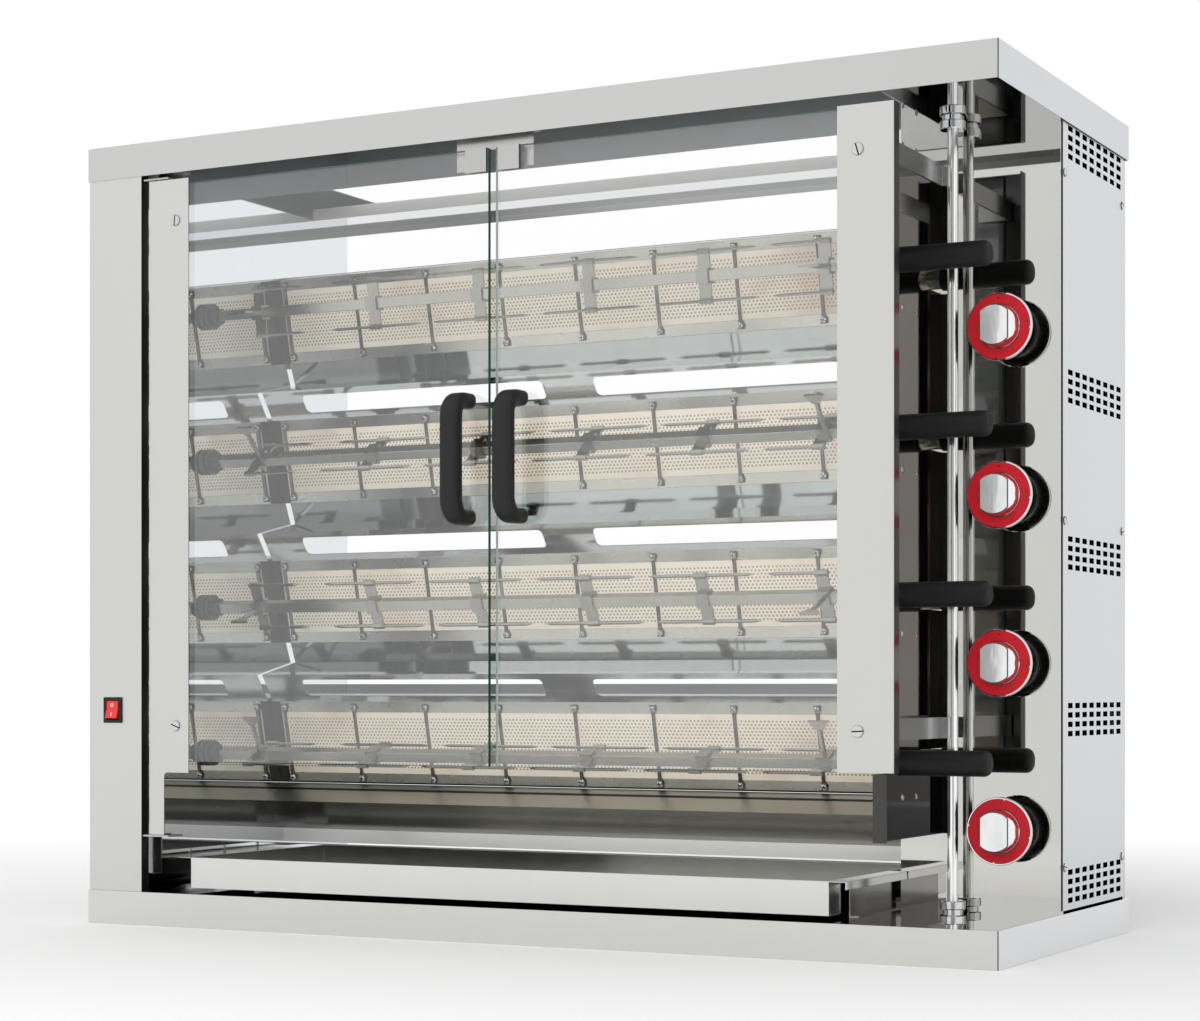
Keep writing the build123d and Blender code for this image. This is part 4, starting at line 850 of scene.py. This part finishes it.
# Spits: four grooved drive sockets, square bars with their forks, and moulded black grips.
# The bars and forks are bare stainless, dulled by fat and heat; the grips are pushed onto the bars' tangs.
spit_steel = finish("spit steel", mill_steel((0.57, 0.56, 0.5, 1.0), 0.2))
fork_steel = finish("fork steel", mill_steel((0.44, 0.43, 0.39, 1.0), 0.14))
socket_grey = finish("drive socket", plain_finish((0.11, 0.12, 0.125, 1.0), 0.3, 0.38, 150.0, 0.1))
grip_black = finish("grip black", plain_finish((0.008, 0.008, 0.0085, 1.0), 0.0, 0.42, 500.0, 0.15, 0.25))
for number in range(1, 5):
    dress(spit_steel, f"spit_bar_{number}", fold=0.0006)
    dress(fork_steel, f"spit_forks_{number}")
    dress(socket_grey, f"drive_socket_{number}")
    low, high = (Vector(corner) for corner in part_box(f"spit_grip_{number}"))
    radius = (high.z - low.z) / 2
    length = high.x - low.x
    grip = turned([(0.0, 0.0), (radius - 0.001, 0.0), (radius, 0.001), (radius, length - 0.006),
                   (radius - 0.0008, length - 0.0035), (radius - 0.0024, length - 0.0012),
                   (radius - 0.0044, length), (0.0, length)])
    root = Vector((low.x, (low.y + high.y) / 2, (low.z + high.z) / 2))
    bmesh.ops.transform(grip, matrix=facing(root, (1, 0, 0)), verts=grip.verts)
    made = piece(f"round_grip_{number}", grip, f"spit_{number}", "black_plastic", grip_black)
    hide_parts(f"spit_grip_{number}")


# Gas knobs: a black moulded skirt, a chromed rim with a red dial ring, a chromed core with a finger ridge.
# Each is pushed onto its tap's spindle; the ring carries small dark setting marks and four bright notches.
knob_black = finish("knob black", plain_finish((0.008, 0.008, 0.0085, 1.0), 0.0, 0.2, 500.0, 0.02, 0.4))
dial_red = finish("dial red", gloss_plastic((0.53, 0.012, 0.022, 1.0), 0.35, 0.0, 0.15))
mark_dark = finish("dark mark", gloss_plastic((0.03, 0.012, 0.012, 1.0), 0.4))
knob_steps = 64
ridge_steps = 96
skirt_radius = 0.029
skirt_depth = 0.025
face_depth = 0.030
core_radius = 0.0235
core_rise = 0.0012
rim_band = 0.0016
notch_angles = (90.0, 0.0, -90.0, 180.0)
notch_cone = {"cap_ends": True, "segments": 4, "radius1": 0.0015, "radius2": 0.0011, "depth": 0.0012}
setting_cone = {"cap_ends": True, "segments": 6, "radius1": 0.0014, "radius2": 0.0012, "depth": 0.0003}
setting_angles = (97.0, 62.0, 12.0, 1.0, -55.0)
setting_radius = 0.0312
dial_turns = (-5.0, -7.0, -7.0, -10.0)
ridge_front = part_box("knob_1")[0][1]


def core_metal(shade):
    """Chrome that is brushed dull by fingers on the front of the ridge, with a painted dark reflection in a
    thin band just behind that face.
    """
    rub = shade.noise((60.0, 60.0, 25.0), detail=2.0)
    front = shade.ramp(shade.along("Y"), ridge_front + 0.0022, ridge_front + 0.0012)
    # A thin band just behind the ridge's front face is painted dark as a reflection.
    edge = front * shade.ramp(shade.along("Y"), ridge_front + 0.0001, ridge_front + 0.0004)
    dull = shade.mix(rub, (0.62, 0.63, 0.64, 1.0), (0.95, 0.95, 0.95, 1.0))
    bright = shade.mix(front, (0.88, 0.89, 0.9, 1.0), dull)
    sockets = {
        "Base Color": shade.mix(edge, bright, (0.08, 0.08, 0.08, 1.0)),
        "Metallic": 1.0 - 0.4 * front,
        "Roughness": 0.05 + 0.1 * front,
        "Normal": shade.bump(rub, 0.2, 0.002),
    }
    return shade.node("BsdfPrincipled", sockets=sockets)


core_chrome = finish("core chrome", core_metal)
ridge_levels = ((0.0020, 0.0224, 0.0233), (0.0060, 0.0206, 0.0231), (0.0100, 0.0188, 0.0228),
                (0.0135, 0.0172, 0.0224), (0.0165, 0.0160, 0.0220))
for number in range(1, 5):
    low, high = (Vector(corner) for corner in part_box(f"knob_{number}"))
    rim_radius = (high.x - low.x) / 2
    reach = high.y - low.y
    body = f"knob_{number}"
    stand = facing(((low.x + high.x) / 2, high.y, (low.z + high.z) / 2), (0, -1, 0))
    band = rim_radius - rim_band

    skirt = turned([(0.0, 0.0), (skirt_radius - 0.002, 0.0), (skirt_radius, 0.002),
                    (skirt_radius, skirt_depth), (rim_radius - 0.003, skirt_depth + 0.0005),
                    (0.0, skirt_depth + 0.001)], knob_steps)
    bmesh.ops.transform(skirt, matrix=stand, verts=skirt.verts)
    made = piece(f"knob_skirt_{number}", skirt, body, "black_plastic", knob_black)
    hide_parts(f"knob_{number}")

    rim = turned([(rim_radius - 0.003, skirt_depth + 0.0002), (rim_radius - 0.001, skirt_depth),
                  (rim_radius, skirt_depth + 0.001), (rim_radius, face_depth - 0.001),
                  (rim_radius - 0.0006, face_depth), (band, face_depth), (band, face_depth - 0.002),
                  (rim_radius - 0.003, skirt_depth + 0.0002)], knob_steps)
    for angle in notch_angles:
        turn = Matrix.Rotation(radians(angle + dial_turns[number - 1]), 4, "Z")
        notch = bmesh.ops.create_cone(rim, **notch_cone)["verts"]
        place = Matrix.Translation((band - 0.0004, 0.0, face_depth - 0.0008))
        bmesh.ops.transform(rim, matrix=turn @ place, verts=notch)
    bmesh.ops.transform(rim, matrix=stand, verts=rim.verts)
    piece(f"knob_rim_{number}", rim, body, "knob_chrome", chrome)

    dial = turned([(band, face_depth - 0.0004), (core_radius + 0.0009, face_depth - 0.0004),
                   (core_radius - 0.001, face_depth - 0.0004),
                   (core_radius - 0.001, face_depth - 0.002), (band, face_depth - 0.002),
                   (band, face_depth - 0.0004)], knob_steps)
    for face in dial.faces:
        face.material_index = 1 if face.calc_center_median().xy.length < core_radius + 0.0008 else 0
    for angle in setting_angles:
        turn = Matrix.Rotation(radians(angle + dial_turns[number - 1]), 4, "Z")
        mark = bmesh.ops.create_cone(dial, **setting_cone)["verts"]
        place = Matrix.Translation((setting_radius, 0.0, face_depth - 0.0003))
        bmesh.ops.transform(dial, matrix=turn @ place, verts=mark)
        for face in {face for vert in mark for face in vert.link_faces}:
            face.material_index = 1
    bmesh.ops.transform(dial, matrix=stand, verts=dial.verts)
    piece(f"knob_ring_{number}", dial, body, "red_plastic", dial_red, mark_dark)

    core = turned([(core_radius, face_depth - 0.002), (core_radius, face_depth + 0.0004),
                   (core_radius - 0.0008, face_depth + core_rise),
                   (0.0, face_depth + core_rise - 0.0006)], knob_steps)
    foot = {"cap_ends": True, "segments": ridge_steps, "radius": core_radius - 0.0002}
    top = bmesh.ops.create_circle(core, **foot)["verts"]
    bmesh.ops.translate(core, vec=(0.0, 0.0, face_depth), verts=top)
    lid_face = [face for face in core.faces if len(face.verts) == ridge_steps]
    for rise, half_width, half_length in ridge_levels:
        grown = bmesh.ops.extrude_face_region(core, geom=lid_face)["geom"]
        bmesh.ops.delete(core, geom=lid_face, context="FACES_ONLY")
        lid_face = [part for part in grown if isinstance(part, bmesh.types.BMFace)]
        for vert in lid_face[0].verts:
            share = half_length / vert.co.xy.length if vert.co.xy.length > half_length else 1.0
            across = max(-half_width, min(half_width, vert.co.x * share))
            vert.co = (across, vert.co.y * share, face_depth + rise)
    bmesh.ops.inset_region(core, faces=lid_face, thickness=0.0012, use_even_offset=True)
    last_rise = reach - face_depth - ridge_levels[-1][0]
    bmesh.ops.translate(core, vec=(0.0, 0.0, last_rise), verts=lid_face[0].verts)
    bmesh.ops.recalc_face_normals(core, faces=core.faces)
    bmesh.ops.transform(core, matrix=stand, verts=core.verts)
    piece(f"knob_core_{number}", core, body, "knob_chrome", core_chrome, angle=30.0)


# Studio: a pale floor that keeps the shadow, a white surround, dark cards for the bright metal and two lamps.
# The lamps light only what scatters light, and the camera stands at the photo's angle.
def studio_floor(shade):
    """Matt near the object, where the shadow falls, and plain white further out."""
    place = shade.node("TexCoord", output="Object")
    away = shade.node("VectorMath", {"operation": "LENGTH"}, {0: place}, output=1)
    far = shade.ramp(away, 0.8, 2.0)
    matt = shade.node("BsdfDiffuse", sockets={"Color": (0.93, 0.93, 0.93, 1.0)})
    white = shade.node("Emission", sockets={"Color": (1.0, 1.0, 1.0, 1.0), "Strength": 1.0})
    return shade.node("MixShader", sockets={0: far, 1: matt, 2: white})


def dark_card(tone, middle, size):
    """Card that is dark in the middle and fades into the white surround at its edges."""

    def surface(shade):
        place = shade.node("TexCoord", output="Object")
        away = shade.node("VectorMath", {"operation": "DISTANCE"}, {0: place, 1: middle}, output=1)
        fade = shade.ramp(away, 0.6 * size, size)
        colour = shade.mix(fade, tone, (0.93, 0.93, 0.93, 1.0))
        return shade.node("BsdfDiffuse", sockets={"Color": colour})

    return surface


def sheet(name, size, matrix, material):
    """A flat square of studio furniture."""
    shape = bmesh.new()
    bmesh.ops.create_grid(shape, x_segments=1, y_segments=1, size=size)
    bmesh.ops.transform(shape, matrix=matrix, verts=shape.verts)
    mesh = bpy.data.meshes.new(name)
    shape.to_mesh(mesh)
    shape.free()
    mesh.materials.append(material)
    made = bpy.data.objects.new(name, mesh)
    bpy.context.collection.objects.link(made)
    return made


sheet("floor", 40.0, Matrix.Identity(4), finish("pale floor", studio_floor))
cards = {
    "right card": ((3.4, -0.6, 0.9), (-3.4, 0.6, 0.0), 0.55, (0.24, 0.235, 0.23, 1.0)),
    "left card": ((-3.4, -1.6, 0.9), (3.4, 1.6, 0.0), 0.55, (0.24, 0.235, 0.23, 1.0)),
    "rear card": ((1.7, -3.3, 0.9), (-1.7, 3.3, 0.0), 1.5, (0.4, 0.385, 0.37, 1.0)),
    "floor card": ((1.6, -2.3, 0.002), (0.0, 0.0, 1.0), 1.3, (0.2, 0.2, 0.21, 1.0)),
}
for name, (place, outward, size, tone) in cards.items():
    card = sheet(name, size, facing(place, outward), finish(name, dark_card(tone, place, size)))
    card.visible_camera = False
    card.visible_diffuse = False
    card.visible_transmission = False
    card.visible_shadow = False

world = bpy.data.worlds.new("white surround")
world.use_nodes = True
world.node_tree.nodes.clear()
sky = Shade(world.node_tree)
seen = sky.node("LightPath", output="Is Camera Ray")
mirrored = sky.node("LightPath", output="Is Glossy Ray")
through = sky.node("LightPath", output="Is Transmission Ray")
direct = sky.maths("MAXIMUM", sky.maths("MAXIMUM", seen, mirrored), through)
surround = sky.node("Background", sockets={"Color": (1.0, 1.0, 1.0, 1.0), "Strength": 0.75 + 0.25 * direct})
sky.node("OutputWorld", sockets={"Surface": surround})
bpy.context.scene.world = world

lamps = {"front lamp": ((0.6, -3.4, 1.6), 2.4, 62.0), "side lamp": ((-2.6, -1.8, 2.4), 2.0, 12.0)}
for name, (place, size, power) in lamps.items():
    light = bpy.data.lights.new(name, "AREA")
    light.size = size
    light.energy = power
    lamp = bpy.data.objects.new(name, light)
    lamp.location = place
    lamp.rotation_euler = (Vector((0.0, 0.0, 0.45)) - Vector(place)).to_track_quat("-Z", "Y").to_euler()
    lamp.visible_glossy = False
    bpy.context.collection.objects.link(lamp)

eye = bpy.data.cameras.new("photo camera")
eye.lens = 77.033
eye.sensor_width = 36.0
eye.shift_y = 0.15
camera = bpy.data.objects.new("photo camera", eye)
camera.location = (1.4248, -2.7070, 0.2844)
camera.rotation_euler = (radians(89.958), 0.0, radians(27.711))
bpy.context.collection.objects.link(camera)
bpy.context.scene.camera = camera
bpy.context.scene.view_settings.view_transform = "Standard"
